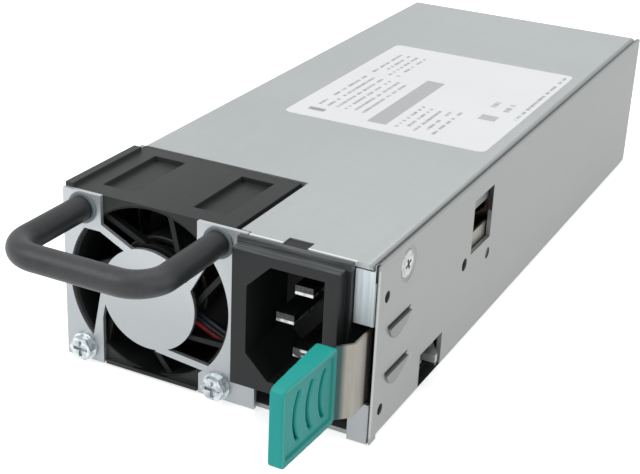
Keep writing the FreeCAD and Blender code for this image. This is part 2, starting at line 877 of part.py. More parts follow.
def chassis_tray():
    below = -d.sheet
    flange_left = d.case_width - d.flange_width - d.sheet
    slit_right = d.case_width - d.corner_slit_edge
    cutters = [
        box("bay_floor_cut", (d.sheet, below, below),
            (d.bay_floor_width - d.sheet, d.bay_length + d.sheet, d.sheet * 3)),
        box("latch_slot", (flange_left, below, d.latch_slot_bottom),
            (d.case_width - d.latch_slot_edge - flange_left, d.latch_slot_depth + d.sheet,
             d.latch_slot_height)),
        box("flange_top_cut", (flange_left, below, UNDER_COVER),
            (d.flange_width, d.sheet * 3, d.sheet * 3)),
        box("corner_slit", (slit_right - d.corner_slit, below, below),
            (d.corner_slit, d.corner_slit_depth + d.sheet, d.case_height + d.sheet * 2)),
        box("corner_relief", (slit_right - d.relief_width, below, d.case_height - d.relief_height),
            (d.relief_width, d.relief_depth + d.sheet, d.relief_height + d.sheet)),
        box("cover_side_cut", (below, d.bay_length - d.cover_gap, COVER_EDGE - d.cover_gap),
            (d.sheet * 2, d.case_length - d.sheet - d.bay_length, d.cover_flange * 2)),
        box("rear_post_cut", (below, d.case_length - d.sheet * 2, UNDER_COVER),
            (d.sheet * 2, d.sheet * 3, d.sheet * 3)),
        box("hook_window", (d.case_width - d.sheet * 3, d.hook_window_front, d.hook_window_bottom),
            (d.sheet * 4, d.hook_window_length, d.hook_window_height)),
        box("side_window", (d.case_width - d.sheet * 2, d.window_front, d.window_bottom),
            (d.sheet * 3, d.window_length, d.window_height)),
        box("rear_slot", (d.rear_slot_left, d.case_length - d.sheet * 2, d.rear_slot_bottom),
            (d.rear_slot_width, d.sheet * 3, d.rear_slot_height)),
        wall_hole("upper_pin_hole", d.pin_hole_front, d.upper_pin_hole, d.pin_hole_radius),
        wall_hole("lower_pin_hole", d.pin_hole_front, d.lower_pin_hole, d.pin_hole_radius),
        wall_hole("peep_hole", d.peep_hole_front, d.peep_hole_level, d.peep_hole_radius),
        wall_hole("rivet_hole", d.strip_pivot, d.rivet_level, d.rivet_radius + d.rivet_hole_gap),
        lance_block("upper_lance_hole", d.upper_lance_top, d.sheet),
        lance_block("lower_lance_hole", d.lower_lance_top, d.sheet),
        dimple("right_dimple", "right"),
    ]
    wall = cut("tray_with_holes", tray_shell(), cutters)
    tongues = [lance_tongue("upper_lance", d.upper_lance_top), lance_tongue("lower_lance", d.lower_lance_top)]
    node(joined("chassis_tray", [wall, cover_rail()] + tongues))


def cover_rail():
    """The step along the left wall that the cover's side lies on, with the cover screw's thread."""
    length = d.case_length - d.sheet - d.bay_length
    foot = COVER_EDGE - d.cover_gap
    rail = box("rail_strip", (RAIL_LEFT, d.bay_length, d.case_height - d.rail_drop - d.cover_gap),
               (d.sheet, length, d.rail_drop - d.sheet))
    root = box("rail_root", (d.sheet, d.bay_length, d.case_height - d.rail_drop - d.cover_gap),
               (d.sheet, length, foot - d.case_height + d.rail_drop + d.cover_gap))
    thread = rod("left_thread", "x", (d.sheet, d.cover_screw_left_front, d.cover_screw_level),
                 d.screw_core + d.thread_gap, d.sheet * 2)
    return cut("cover_rail", joined("rail", [rail, root]), [thread])


def top_cover():
    inner = d.bend_radius - d.sheet
    under = d.case_height - d.sheet
    shell = body("cover_shell")
    profile = sketch_on(shell, "XZ_Plane", "cover_profile")
    outline(profile, [
        (0, COVER_EDGE),
        (d.sheet, COVER_EDGE),
        (d.sheet, under, inner),
        (COVER_RIGHT - d.sheet, under, inner),
        (COVER_RIGHT - d.sheet, COVER_EDGE),
        (COVER_RIGHT, COVER_EDGE),
        (COVER_RIGHT, d.case_height, d.bend_radius),
        (0, d.case_height, d.bend_radius),
    ])
    pad(shell, profile, "cover_fold", d.case_length)
    rear_edge = d.case_length - d.sheet - d.cover_gap
    cutters = [
        box("bay_cut", (-d.sheet, -d.sheet, COVER_EDGE - d.sheet),
            (d.bay_width + d.sheet, d.bay_length + d.sheet, d.cover_flange * 2)),
        box("panel_edge_cut", (0, -d.sheet, COVER_EDGE),
            (PANEL_RIGHT + d.cover_gap, d.sheet * 2 + d.cover_gap, d.cover_flange * 2)),
        box("inlet_notch", (d.inlet_notch_left, -d.sheet, COVER_EDGE),
            (d.inlet_notch_width, d.inlet_notch_depth + d.sheet, d.cover_flange * 2)),
        box("front_flange_clear", (COVER_RIGHT - d.bend_radius * 2, -d.sheet, COVER_EDGE - d.sheet),
            (d.bend_radius * 3, d.sheet * 2 + d.cover_gap, d.cover_flange)),
        box("rear_left_clear", (-d.sheet, rear_edge, COVER_EDGE - d.sheet),
            (d.bend_radius * 3, d.sheet * 3, d.cover_flange)),
        box("rear_right_clear", (COVER_RIGHT - d.bend_radius * 2, rear_edge, COVER_EDGE - d.sheet),
            (d.bend_radius * 4, d.sheet * 3, d.cover_flange)),
        rod("right_thread", "x", (COVER_RIGHT - d.sheet * 2, d.cover_screw_front, d.cover_screw_level),
            d.screw_core + d.thread_gap, d.sheet * 3),
        dimple("left_dimple", "left"),
    ]
    node(cut("top_cover", shell, cutters))


def cover_screws():
    length = d.cover_screw_length
    right_head = cone("right_head", "x",
                      (d.case_width - d.countersunk_height - d.fit_gap / 2, d.cover_screw_front,
                       d.cover_screw_level), d.screw_core, d.countersunk_radius, d.countersunk_height)
    right_shank = rod("right_shank", "x",
                      (d.case_width - d.countersunk_height - d.fit_gap / 2 - length, d.cover_screw_front,
                       d.cover_screw_level), d.screw_core, length)
    left_head = cone("left_head", "x", (d.fit_gap / 2, d.cover_screw_left_front, d.cover_screw_level),
                     d.countersunk_radius, d.screw_core, d.countersunk_height)
    left_shank = rod("left_shank", "x",
                     (d.fit_gap / 2 + d.countersunk_height, d.cover_screw_left_front, d.cover_screw_level),
                     d.screw_core, length)
    node(group("cover_screws", [
        joined("right_cover_screw", [right_head, right_shank]),
        joined("left_cover_screw", [left_head, left_shank]),
    ]))


def guard_arm(name, angle, offset):
    """One arm of the finger guard: a bar that passes beside the disc's centre at a distance."""
    arm = turn(body(name, d.fan_x, 0, DISC_Z), angle)
    profile = sketch_on(arm, "XZ_Plane", name + "_profile")
    rectangle(profile, d.arm_start, -offset - d.arm_width / 2, d.arm_end - d.arm_start, d.arm_width)
    pad(arm, profile, name + "_pad", d.sheet)
    return arm


def front_panel():
    plate = body("panel_plate")
    face = sketch_on(plate, "XZ_Plane", "panel_face")
    outline(face, [
        (0, 0),
        (d.panel_foot_right, 0),
        (d.panel_foot_right, d.panel_foot_height),
        (PANEL_RIGHT, d.panel_foot_height),
        (PANEL_RIGHT, d.case_height),
        (0, d.case_height),
    ])
    pad(plate, face, "panel_sheet", d.sheet)
    lip = sketch_on(plate, "XZ_Plane", "panel_lip", d.sheet)
    rectangle(lip, 0, 0, d.sheet, d.case_height)
    pad(plate, lip, "panel_return", d.bend_radius - d.sheet)
    through = d.sheet * 3
    openings = [
        rod("guard_opening", "y", (d.fan_x, -d.sheet, d.fan_z), d.guard_radius, through),
        box("upper_guard_cut", (d.guard_cut_left, -d.sheet, d.fan_z),
            (d.upper_cut_right - d.guard_cut_left, through, d.case_height)),
        box("lower_guard_cut", (d.guard_cut_left, -d.sheet, -d.sheet),
            (d.lower_cut_right - d.guard_cut_left, through, d.fan_z)),
    ]
    holes = []
    for side, x in (("left", d.handle_left), ("right", d.handle_right)):
        holes.append(rod(f"{side}_handle_hole", "y", (x, -d.sheet, d.handle_z), d.handle_screw_hole, through))
    for side, x in (("left", d.fan_screw_left), ("right", d.fan_screw_right)):
        holes.append(rod(f"{side}_fan_hole", "y", (x, -d.sheet, d.fan_screw_level),
                         d.fan_screw_core + d.fit_gap, through))
    frame = cut("panel_frame", plate, openings)
    guard = [
        rod("guard_disc", "y", (d.fan_x, 0, DISC_Z), d.disc_radius, d.sheet),
        box("handle_pad", (d.sheet, 0, d.handle_pad_bottom),
            (d.guard_cut_left - d.sheet, d.sheet, d.case_height - d.handle_pad_bottom)),
        box("lower_left_web", (d.guard_cut_left - d.web_width, 0, d.web_bottom),
            (d.web_width, d.sheet, d.web_top - d.web_bottom)),
    ]
    for name in ("upper_left", "upper_right", "lower_right", "lower_left"):
        guard.append(guard_arm(name + "_guard_arm", getattr(d, name + "_arm_angle"),
                               getattr(d, name + "_offset")))
    node(cut("front_panel", joined("guarded_panel", [frame] + guard), holes))


def rating_label():
    label = body("rating_label", d.label_left, d.label_front, d.case_height)
    face = sketch_on(label, "XY_Plane", "label_face")
    outline(face, [
        (0, 0, d.label_corner),
        (d.label_width, 0, d.label_corner),
        (d.label_width, d.label_length, d.label_corner),
        (0, d.label_length, d.label_corner),
    ])
    pad(label, face, "label_film", d.label_thick)
    node(label)


# ---- fan -----------------------------------------------------------------------------------------

def fan_block():
    """The square moulding round the bore, with its hollowed top and the lip over the left wall."""
    half = d.fan_width / 2
    low = d.fan_bottom - d.fan_z
    high = d.fan_top - d.fan_z
    wall_top = d.case_height - d.fan_z
    block = body("fan_block", d.fan_x, FAN_FRONT, d.fan_z)
    square = sketch_on(block, "XZ_Plane", "fan_square")
    rectangle(square, -half, low, d.fan_width, d.fan_top - d.fan_bottom)
    pad(block, square, "fan_body", d.fan_length)
    sill = sketch_on(block, "XZ_Plane", "fan_sill", -d.sheet)
    room = d.sheet / 2
    rectangle(sill, d.guard_cut_left + room - d.fan_x, low, d.lower_cut_right - d.guard_cut_left - room * 2,
              d.front_sill_height)
    pad(block, sill, "front_sill", d.sheet)
    shelf = sketch_on(block, "XZ_Plane", "fan_shelf")
    rectangle(shelf, half, high - d.fan_top_step - d.fan_top_plate, d.bay_width - d.fit_gap - FAN_RIGHT,
              d.fan_top_plate)
    pad(block, shelf, "fan_side_shelf", d.fan_length)
    lip = sketch_on(block, "XZ_Plane", "fan_lip")
    outline(lip, [
        (-d.fan_x, wall_top),
        (-d.fan_x + d.sheet, wall_top),
        (-d.fan_x + d.sheet, high),
        (-d.fan_x + d.fan_lip_width, high),
        (-d.fan_x + d.fan_lip_width, high + d.fan_lip_height),
        (-d.fan_x, high + d.fan_lip_height),
    ])
    pad(block, lip, "fan_top_lip", d.fan_lip_length)
    bore = sketch_on(block, "XZ_Plane", "fan_bore")
    disc(bore, 0, 0, d.bore_radius)
    pocket(block, bore, "fan_tunnel", d.fan_length)
    for side, left in (("left", d.left_pocket), ("right", d.right_pocket)):
        hollow = sketch_on(block, "XY_Plane", f"{side}_hollow", high - d.pocket_depth)
        rectangle(hollow, left - d.fan_x, d.pocket_front - FAN_FRONT, d.pocket_width, d.pocket_length)
        pocket(block, hollow, f"{side}_top_hollow", d.pocket_depth)
    return block


def fan_spider():
    """Motor base, leaning struts and bearing tube."""
    spider = turn(body("fan_spider", d.fan_x, FAN_FRONT + d.motor_front, d.fan_z), d.strut_turn)
    base = sketch_on(spider, "XZ_Plane", "motor_base")
    disc(base, 0, 0, d.motor_base_radius)
    pad(spider, base, "motor_plate", d.motor_base_depth)
    post = sketch_on(spider, "XZ_Plane", "bearing_post")
    disc(post, 0, 0, d.bearing_tube_radius)
    pad(spider, post, "bearing_tube", d.bearing_tube_length)
    hollow = sketch_on(spider, "XZ_Plane", "bearing_bore", d.motor_base_depth / 2)
    disc(hollow, 0, 0, d.bearing_radius)
    pocket(spider, hollow, "bearing_seat", d.bearing_tube_length)
    inside = d.motor_base_radius - d.strut_bite
    outside = d.bore_radius + d.strut_bite
    lean = d.strut_lean / 2
    half = d.strut_width / 2
    strut = sketch_on(spider, "XZ_Plane", "strut_bar")
    outline(strut, [
        (inside, -lean - half), (outside, lean - half), (outside, lean + half), (inside, -lean + half),
    ])
    polar_pattern(spider, pad(spider, strut, "strut", d.strut_depth), "struts", d.strut_count)
    return spider


def polar_pattern(owner, feature, name, count):
    """Copies of a feature round its body's own Y axis."""
    pattern = owner.newObject("PartDesign::PolarPattern", name)
    pattern.Originals = [feature]
    pattern.Axis = (next(f for f in owner.Origin.OriginFeatures if f.Role == "Y_Axis"), [""])
    pattern.Angle = 360
    bind(pattern, "Occurrences", count)
    owner.Tip = pattern


def fan_frame():
    cutters = [
        box("lead_slot",
            (d.fan_x + d.bore_radius * 0.7, FAN_FRONT + d.lead_slot_front, LEAD_Z - d.lead_slot_drop),
            (d.bore_radius, d.lead_slot_length, d.lead_slot_height)),
    ]
    for side, x in (("left", d.fan_screw_left), ("right", d.fan_screw_right)):
        cutters.append(rod(f"{side}_fan_thread", "y", (x, 0, d.fan_screw_level),
                           d.fan_screw_core + d.thread_gap, d.fan_length * 2))
    for side, x in (("left", d.handle_left), ("right", d.handle_right)):
        cutters.append(rod(f"{side}_recess", "y", (x, 0, d.handle_z), d.screw_recess_radius,
                           FAN_FRONT + d.screw_recess_depth))
    node(cut("fan_frame", joined("fan_moulding", [fan_block(), fan_spider()]), cutters))


def fan_rotor():
    rotor = body("fan_rotor", d.fan_x, FAN_FRONT + d.hub_front, d.fan_z)
    tip = d.bore_radius - d.blade_tip_gap
    hub = sketch_on(rotor, "XZ_Plane", "hub_disc")
    disc(hub, 0, 0, d.hub_radius)
    pad(rotor, hub, "hub", d.hub_length)
    hollow = sketch_on(rotor, "XZ_Plane", "hub_hollow")
    disc(hollow, 0, 0, HUB_INSIDE)
    pocket(rotor, hollow, "hub_cup", d.hub_length - d.hub_wall * 1.5)
    hole = sketch_on(rotor, "XZ_Plane", "shaft_hole")
    disc(hole, 0, 0, d.shaft_radius)
    pocket(rotor, hole, "shaft_seat", d.hub_length)
    blade = sketch_on(rotor, "YZ_Plane", "blade_section", d.hub_radius - d.hub_wall / 2)
    half = d.blade_span / 2
    rear = d.hub_length - d.blade_margin
    outline(blade, [
        (d.blade_margin, -half), (d.blade_margin + d.blade_thickness * 1.5, -half),
        (rear, half), (rear - d.blade_thickness * 1.5, half),
    ])
    polar_pattern(rotor, pad(rotor, blade, "blade", tip - d.hub_radius + half), "blades", d.blade_count)
    trim = sketch_on(rotor, "XZ_Plane", "tip_trim")
    disc(trim, 0, 0, tip)
    disc(trim, 0, 0, tip + d.blade_span)
    pocket(rotor, trim, "blade_tips", d.hub_length)
    node(rotor)


def fan_motor():
    """Bearings, shaft, ring magnet, stator core, coils and circuit ring."""
    tube_front = FAN_FRONT + d.motor_front + d.motor_base_depth / 2
    tube_end = FAN_FRONT + d.motor_front + d.bearing_tube_length
    shaft_bore = d.shaft_radius + d.shaft_gap
    node(group("fan_bearings", [
        tube("front_bearing", "y", (d.fan_x, tube_front, d.fan_z), d.bearing_radius, shaft_bore,
             d.bearing_length),
        tube("rear_bearing", "y", (d.fan_x, tube_end - d.bearing_length, d.fan_z), d.bearing_radius,
             shaft_bore, d.bearing_length),
    ]))
    shaft_front = tube_front + d.motor_base_depth / 2
    node(rod("fan_shaft", "y", (d.fan_x, shaft_front, d.fan_z), d.shaft_radius,
             FAN_FRONT + d.hub_front + d.hub_length - shaft_front))
    core_front = FAN_FRONT + d.core_front
    node(tube("fan_magnet", "y", (d.fan_x, core_front, d.fan_z), HUB_INSIDE, MAGNET_BORE, d.magnet_length))
    core = node(stator_core(core_front))
    node(group("fan_coils", [coil(side, core, core_front) for side in ("right", "left", "top", "bottom")]))
    board_front = FAN_FRONT + d.motor_front + d.motor_base_depth
    node(tube("fan_circuit_ring", "y", (d.fan_x, board_front, d.fan_z), d.motor_board_radius,
              d.bearing_tube_radius + d.fit_gap, d.motor_board_thick))


def stator_core(front):
    """Laminated core: a hub on the bearing tube, four teeth and their pole faces."""
    across = box("teeth_across", (d.fan_x - STATOR_RADIUS, front, d.fan_z - d.tooth_width / 2),
                 (STATOR_RADIUS * 2, d.core_length, d.tooth_width))
    upright = box("teeth_upright", (d.fan_x - d.tooth_width / 2, front, d.fan_z - STATOR_RADIUS),
                  (d.tooth_width, d.core_length, STATOR_RADIUS * 2))
    slots = []
    for side, angle in (("rising", 45), ("falling", -45)):
        slot = turn(body(f"{side}_slot", d.fan_x, front, d.fan_z), size(angle))
        profile = sketch_on(slot, "XZ_Plane", f"{side}_slot_profile")
        rectangle(profile, -STATOR_RADIUS - 1, -d.tooth_width / 2, STATOR_RADIUS * 2 + 2, d.tooth_width)
        pad(slot, profile, f"{side}_slot_pad", d.core_length)
        slots.append(slot)
    rim = cut("pole_faces", tube("pole_ring", "y", (d.fan_x, front, d.fan_z), STATOR_RADIUS,
                                 STATOR_RADIUS - d.pole_depth, d.core_length), slots)
    hub = rod("core_hub", "y", (d.fan_x, front, d.fan_z), d.bearing_tube_radius + d.core_hub_wall,
              d.core_length)
    bars = common("core_teeth", joined("teeth", [across, upright]),
                  rod("teeth_limit", "y", (d.fan_x, front, d.fan_z), STATOR_RADIUS, d.core_length))
    bore = rod("core_bore", "y", (d.fan_x, front, d.fan_z), d.bearing_tube_radius, d.core_length)
    return cut("fan_stator", joined("core_solid", [hub, bars, rim]), [bore])


def coil(side, core, front):
    """Copper round one tooth of the core."""
    inner = d.bearing_tube_radius + d.core_hub_wall + d.fit_gap
    depth = STATOR_RADIUS - d.pole_depth - d.fit_gap - inner - d.fit_gap
    half = d.tooth_width / 2 + d.coil_wall
    length = d.core_length + d.coil_wall * 2
    lowest = {
        "right": (d.fan_x + inner, d.fan_z - half),
        "left": (d.fan_x - inner - depth, d.fan_z - half),
        "top": (d.fan_x - half, d.fan_z + inner),
        "bottom": (d.fan_x - half, d.fan_z - inner - depth),
    }[side]
    sides = (depth, length, half * 2) if side in ("right", "left") else (half * 2, length, depth)
    block = box(f"{side}_coil_block", (lowest[0], front - d.coil_wall, lowest[1]), sides)
    return cut(f"{side}_coil", block, [core])


def fan_screws():
    screws = []
    z = d.fan_screw_level
    for side, x in (("left", d.fan_screw_left), ("right", d.fan_screw_right)):
        flange = rod(f"{side}_washer", "y", (x, -d.fan_screw_flange_height, z), d.fan_screw_head_radius,
                     d.fan_screw_flange_height)
        head = doc.addObject("Part::Prism", f"{side}_hex")
        head.Polygon = 6
        head.Placement = FreeCAD.Placement(Vector(), AXES["y"])
        bind(head, "Circumradius", d.fan_screw_hex_radius)
        bind(head, "Height", d.fan_screw_head_height)
        place(head, x, -d.fan_screw_flange_height - d.fan_screw_head_height, z)
        shank = rod(f"{side}_fan_shank", "y", (x, 0, z), d.fan_screw_core, d.fan_screw_length)
        core = d.fan_screw_core
        half_slot = d.fan_screw_slot / 2
        depth = d.fan_screw_length - d.fan_screw_flange_height * 2
        cross = [
            box(f"{side}_drive_across", (x - core, -d.fan_screw_length, z - half_slot),
                (core * 2, depth, d.fan_screw_slot)),
            box(f"{side}_drive_upright", (x - half_slot, -d.fan_screw_length, z - core),
                (d.fan_screw_slot, depth, core * 2)),
        ]
        screws.append(cut(f"{side}_fan_screw", joined(f"{side}_screw_blank", [flange, head, shank]), cross))
    node(group("fan_screws", screws))


# ---- leads ---------------------------------------------------------------------------------------

def corner_arc(before, corner, after):
    """Start, middle and end of the largest arc that rounds a corner of a lead's route."""
    back = before - corner
    ahead = after - corner
    turn = math.pi - back.getAngle(ahead)
    reach = 0.45 * min(back.Length, ahead.Length)
    radius = reach / math.tan(turn / 2)
    back.normalize()
    ahead.normalize()
    inward = (back + ahead).normalize()
    to_centre = math.hypot(radius, reach)
    middle = corner + inward * (to_centre - radius)
    return corner + back * reach, middle, corner + ahead * reach, radius


def lead(name, points, radius):
    """A round lead along straight runs joined by tangent arcs."""
    edges = []
    place_now = points[0]
    for before, corner, after in zip(points, points[1:], points[2:]):
        start, middle, end, bend = corner_arc(before, corner, after)
        edges.append(Part.LineSegment(place_now, start).toShape())
        edges.append(Part.Arc(start, middle, end).toShape())
        place_now = end
        print(f"{name}: bend radius {bend:.1f} mm, {bend / (2 * radius):.1f} diameters")
    edges.append(Part.LineSegment(place_now, points[-1]).toShape())
    length = sum(edge.Length for edge in edges)
    path = Part.Wire(edges)
    section = Part.Wire(Part.Circle(points[0], points[1] - points[0], radius).toShape())
    solid = path.makePipeShell([section], True, False)
    print(f"{name}: volume {solid.Volume / (math.pi * radius * radius * length):.4f} of section times length")
    wire = doc.addObject("Part::Feature", name)
    wire.Shape = solid
    return place(wire, 0, 0, 0)


def fan_leads():
    """Three leads from the motor's circuit ring, behind a strut and along the fan, to their header."""
    centre = Vector(d.fan_x.value, 0, d.fan_z.value - d.lead_drop.value)
    outward = Vector(1, 0, -d.lead_fall.value).normalize()
    across = Vector(-outward.z, 0, outward.x)
    level = FAN_FRONT.value + d.lead_level.value
    inside = d.motor_board_radius.value + d.lead_start_gap.value
    for step, colour in ((-1, "red"), (0, "black"), (1, "blue")):
        aside = step * d.lead_spacing.value
        start = centre + outward * inside + across * aside + Vector(0, level, 0)
        start += outward * d.lead_radius.value * abs(step)
        run = (LEAD_X.value - start.x) / outward.x
        bend = start + outward * run
        end = Vector(bend.x, d.header_front.value, bend.z)
        node(lead(f"fan_lead_{colour}", [start, bend, end], d.lead_radius.value))
    node(box("fan_header", (LEAD_X - d.header_width / 2, d.header_front, BOARD_TOP),
             (d.header_width, d.header_length, d.header_height)))


def mains_leads():
    """Three short leads from the inlet's blades to the terminal block on the board."""
    middle = d.terminal_left + d.terminal_width / 2
    entry = BOARD_TOP + d.terminal_entry
    half_pitch = d.blade_pair_pitch / 2
    tail = INLET_BACK + d.tail_length
    run = d.mains_lead_run.value
    for name, x, z, slot in (
        ("mains_lead_live", BLADE_X, d.cavity_centre_z + half_pitch, 1),
        ("mains_lead_neutral", BLADE_X, d.cavity_centre_z - half_pitch, 0),
        ("mains_lead_earth", EARTH_X, d.cavity_centre_z, -1),
    ):
        goal_x = (middle + d.terminal_pitch * slot).value
        front = d.terminal_front.value
        points = [
            Vector(x.value, tail.value, z.value),
            Vector(x.value, tail.value + run, z.value),
            Vector(goal_x, front - run, entry.value),
            Vector(goal_x, front, entry.value),
        ]
        node(lead(name, points, d.mains_lead_radius.value))
    node(box("terminal_block", (d.terminal_left, d.terminal_front, BOARD_TOP),
             (d.terminal_width, d.terminal_length, d.terminal_height)))


# ---- handle --------------------------------------------------------------------------------------

def u_path(sketch, front):
    """The handle's centreline: two legs, two round corners and the grip bar."""
    left, right, corner = d.handle_left, d.handle_right, d.handle_corner
    straight = -(d.handle_reach - corner)
    bar = -d.handle_reach
    spots = [
        ((left, front), (left, straight)),
        ((left + corner, bar), (right - corner, bar)),
        ((right, straight), (right, front)),
    ]
    lines = []
    for start, stop in spots:
        line = sketch.addGeometry(Part.LineSegment(
            Vector(size(start[0]).value, size(start[1]).value, 0),
            Vector(size(stop[0]).value, size(stop[1]).value, 0)))
        pin_vertex(sketch, line, 1, size(start[0]), size(start[1]))
        pin_vertex(sketch, line, 2, size(stop[0]), size(stop[1]))
        lines.append(line)
    round_corner(sketch, lines[0], lines[1], ((left, straight), (left + corner, bar)), (left, bar, corner))
    round_corner(sketch, lines[1], lines[2], ((right - corner, bar), (right, straight)), (right, bar, corner))


def bent_bar(name, front, radius, bore=None):
    """A round bar or sleeve along the handle's centreline, its ends at y = front."""
    bar = body(name, 0, 0, d.handle_z)
    path = sketch_on(bar, "XY_Plane", name + "_path")
    u_path(path, front)
    section = sketch_on(bar, "XZ_Plane", name + "_section", front)
    disc(section, d.handle_left, 0, radius)
    if bore is not None:
        disc(section, d.handle_left, 0, bore)
    sweep = bar.newObject("PartDesign::AdditivePipe", name + "_sweep")
    sweep.Profile = section
    sweep.Spine = (path, [f"Edge{index + 1}" for index in range(5)])
    return bar


def handle():
    core = bent_bar("handle_rod", size(0), d.handle_core_radius)
    threads = []
    collars = []
    screws = []
    for side, x in (("left", d.handle_left), ("right", d.handle_right)):
        threads.append(rod(f"{side}_handle_thread", "y", (x, -d.tapped_depth, d.handle_z),
                           d.handle_screw_core + d.thread_gap, d.tapped_depth))
        collars.append(tube(f"{side}_collar", "y", (x, -d.collar_length, d.handle_z), d.collar_radius,
                            d.handle_core_radius + d.collar_gap, d.collar_length))
        shank = rod(f"{side}_handle_shank", "y", (x, d.sheet - d.handle_screw_length, d.handle_z),
                    d.handle_screw_core, d.handle_screw_length)
        head = rod(f"{side}_handle_head", "y", (x, d.sheet, d.handle_z), d.handle_screw_head,
                   d.handle_screw_head_height)
        screws.append(joined(f"{side}_handle_screw", [shank, head]))
    node(cut("handle_core", core, threads))
    node(bent_bar("handle_sleeve", -d.sleeve_front, d.sleeve_radius, d.handle_core_radius))
    node(group("handle_collars", collars))
    node(group("handle_screws", screws))


# ---- mains inlet ---------------------------------------------------------------------------------

def blade(name, x, z):
    """One flat contact, from its tip in the cavity to its tail behind the housing."""
    front = d.blade_recess - d.inlet_proud
    return box(name, (x - d.blade_wide / 2, front, z - d.blade_thick / 2),
               (d.blade_wide, INLET_BACK + d.tail_length - front, d.blade_thick))


def mains_inlet():
    half_pitch = d.blade_pair_pitch / 2
    blades = [
        blade("live_blade", BLADE_X, d.cavity_centre_z + half_pitch),
        blade("neutral_blade", BLADE_X, d.cavity_centre_z - half_pitch),
        blade("earth_blade", EARTH_X, d.cavity_centre_z),
    ]
    inset = d.inlet_body_inset
    housing = body("inlet_moulding")
    flange = sketch_on(housing, "XZ_Plane", "inlet_flange", -d.inlet_plate)
    rectangle(flange, d.inlet_left, d.inlet_bottom, d.inlet_width, d.inlet_height)
    pad(housing, flange, "inlet_plate", d.inlet_plate)
    bezel = sketch_on(housing, "XZ_Plane", "inlet_bezel", -d.inlet_proud)
    rims = d.bezel_inset + d.bezel_outer_inset
    rectangle(bezel, d.inlet_left + d.bezel_inset, d.inlet_bottom + d.bezel_inset, d.inlet_width - rims,
              d.inlet_height - rims)
    pad(housing, bezel, "inlet_face", d.inlet_proud)
    barrel = sketch_on(housing, "XZ_Plane", "inlet_barrel")
    rectangle(barrel, d.inlet_left + inset, d.inlet_bottom + inset, d.inlet_width - inset * 2,
              d.inlet_height - inset * 2)
    pad(housing, barrel, "inlet_body", INLET_BACK)
    left = d.cavity_centre_x - d.cavity_width / 2
    right = d.cavity_centre_x + d.cavity_width / 2
    low = d.cavity_centre_z - d.cavity_height / 2
    high = d.cavity_centre_z + d.cavity_height / 2
    cavity = sketch_on(housing, "XZ_Plane", "inlet_cavity", -d.inlet_proud)
    outline(cavity, [
        (left, low + d.cavity_chamfer), (left + d.cavity_chamfer, low), (right, low),
        (right, high), (left + d.cavity_chamfer, high), (left, high - d.cavity_chamfer),
    ])
    pocket(housing, cavity, "inlet_mouth", d.cavity_depth)
    barrel_top = d.inlet_bottom + d.inlet_height - inset
    tab = box("inlet_tab", (d.inlet_notch_left + d.fit_gap, 0, barrel_top),
              (d.inlet_notch_width - d.fit_gap * 2, d.inlet_notch_depth - d.fit_gap,
               d.case_height - d.fit_gap * 2 - barrel_top))
    node(cut("inlet_housing", joined("inlet_solid", [housing, tab]), blades))
    node(group("inlet_blades", blades))


# ---- latch ---------------------------------------------------------------------------------------

def strip_band():
    """The spring strip seen from above: a straight run, a jog toward the inlet and a tongue for the grip."""
    mitre = d.strip_thick * 0.2
    outside = LATCH_X + HALF_STRIP
    inside = LATCH_X - HALF_STRIP
    bend = -d.strip_bend
    jog_end = -d.strip_bend - d.strip_jog_length
    band = body("strip_band", 0, 0, d.latch_z - d.strip_height / 2)
    profile = sketch_on(band, "XY_Plane", "strip_profile")
    outline(profile, [
        (inside, d.strip_pivot + d.strip_root_end),
        (inside, bend + mitre),
        (inside - d.strip_jog, jog_end + mitre),
        (inside - d.strip_jog, -d.strip_tip),
        (outside - d.strip_jog, -d.strip_tip),
        (outside - d.strip_jog, jog_end - mitre),
        (outside, bend - mitre),
        (outside, d.strip_pivot + d.strip_root_end),
    ])
    pad(band, profile, "strip_pad", d.strip_height)
    return band


def latch_hook():
    """The leg below the strip and the ramped tooth that stands out through the wall's window."""
    strip_bottom = d.latch_z - d.strip_height / 2
    leg = box("hook_leg", (LATCH_X - HALF_STRIP, d.hook_front + d.hook_length - d.hook_leg, d.hook_bottom),
              (d.strip_thick, d.hook_leg, strip_bottom + d.hook_flat - d.hook_bottom))
    tooth = body("hook_tooth", 0, 0, d.hook_bottom)
    profile = sketch_on(tooth, "XY_Plane", "tooth_profile")
    outline(profile, [
        (LATCH_X, d.hook_front),
        (d.case_width + d.hook_proud, d.hook_front),
        (d.case_width + d.hook_proud, d.hook_front + d.hook_flat),
        (LATCH_X + HALF_STRIP, d.hook_front + d.hook_length),
        (LATCH_X, d.hook_front + d.hook_length),
    ])
    pad(tooth, profile, "tooth_pad", d.hook_height)
    return [leg, tooth]


def grip_block():
    block = body("grip_block", 0, 0, d.latch_z - d.grip_height / 2)
    back = -d.grip_back
    front = -d.grip_back - d.grip_length
    border = d.grip_border
    profile = sketch_on(block, "XY_Plane", "grip_profile")
    outline(profile, [
        (GRIP_BACK_LEFT, back), (GRIP_FRONT_LEFT, front), (GRIP_FRONT_RIGHT, front),
        (GRIP_BACK_RIGHT, back),
    ])
    pad(block, profile, "grip_pad", d.grip_height)
    face = sketch_on(block, "XY_Plane", "grip_face", border)
    outline(face, [
        (GRIP_BACK_RIGHT + border, back - border),
        (GRIP_BACK_RIGHT - d.grip_recess, back - border),
        (GRIP_FRONT_RIGHT - d.grip_recess, front + border),
        (GRIP_BACK_RIGHT + border, front + border),
    ])
    pocket(block, face, "grip_panel", d.grip_height - border * 2)
    return block


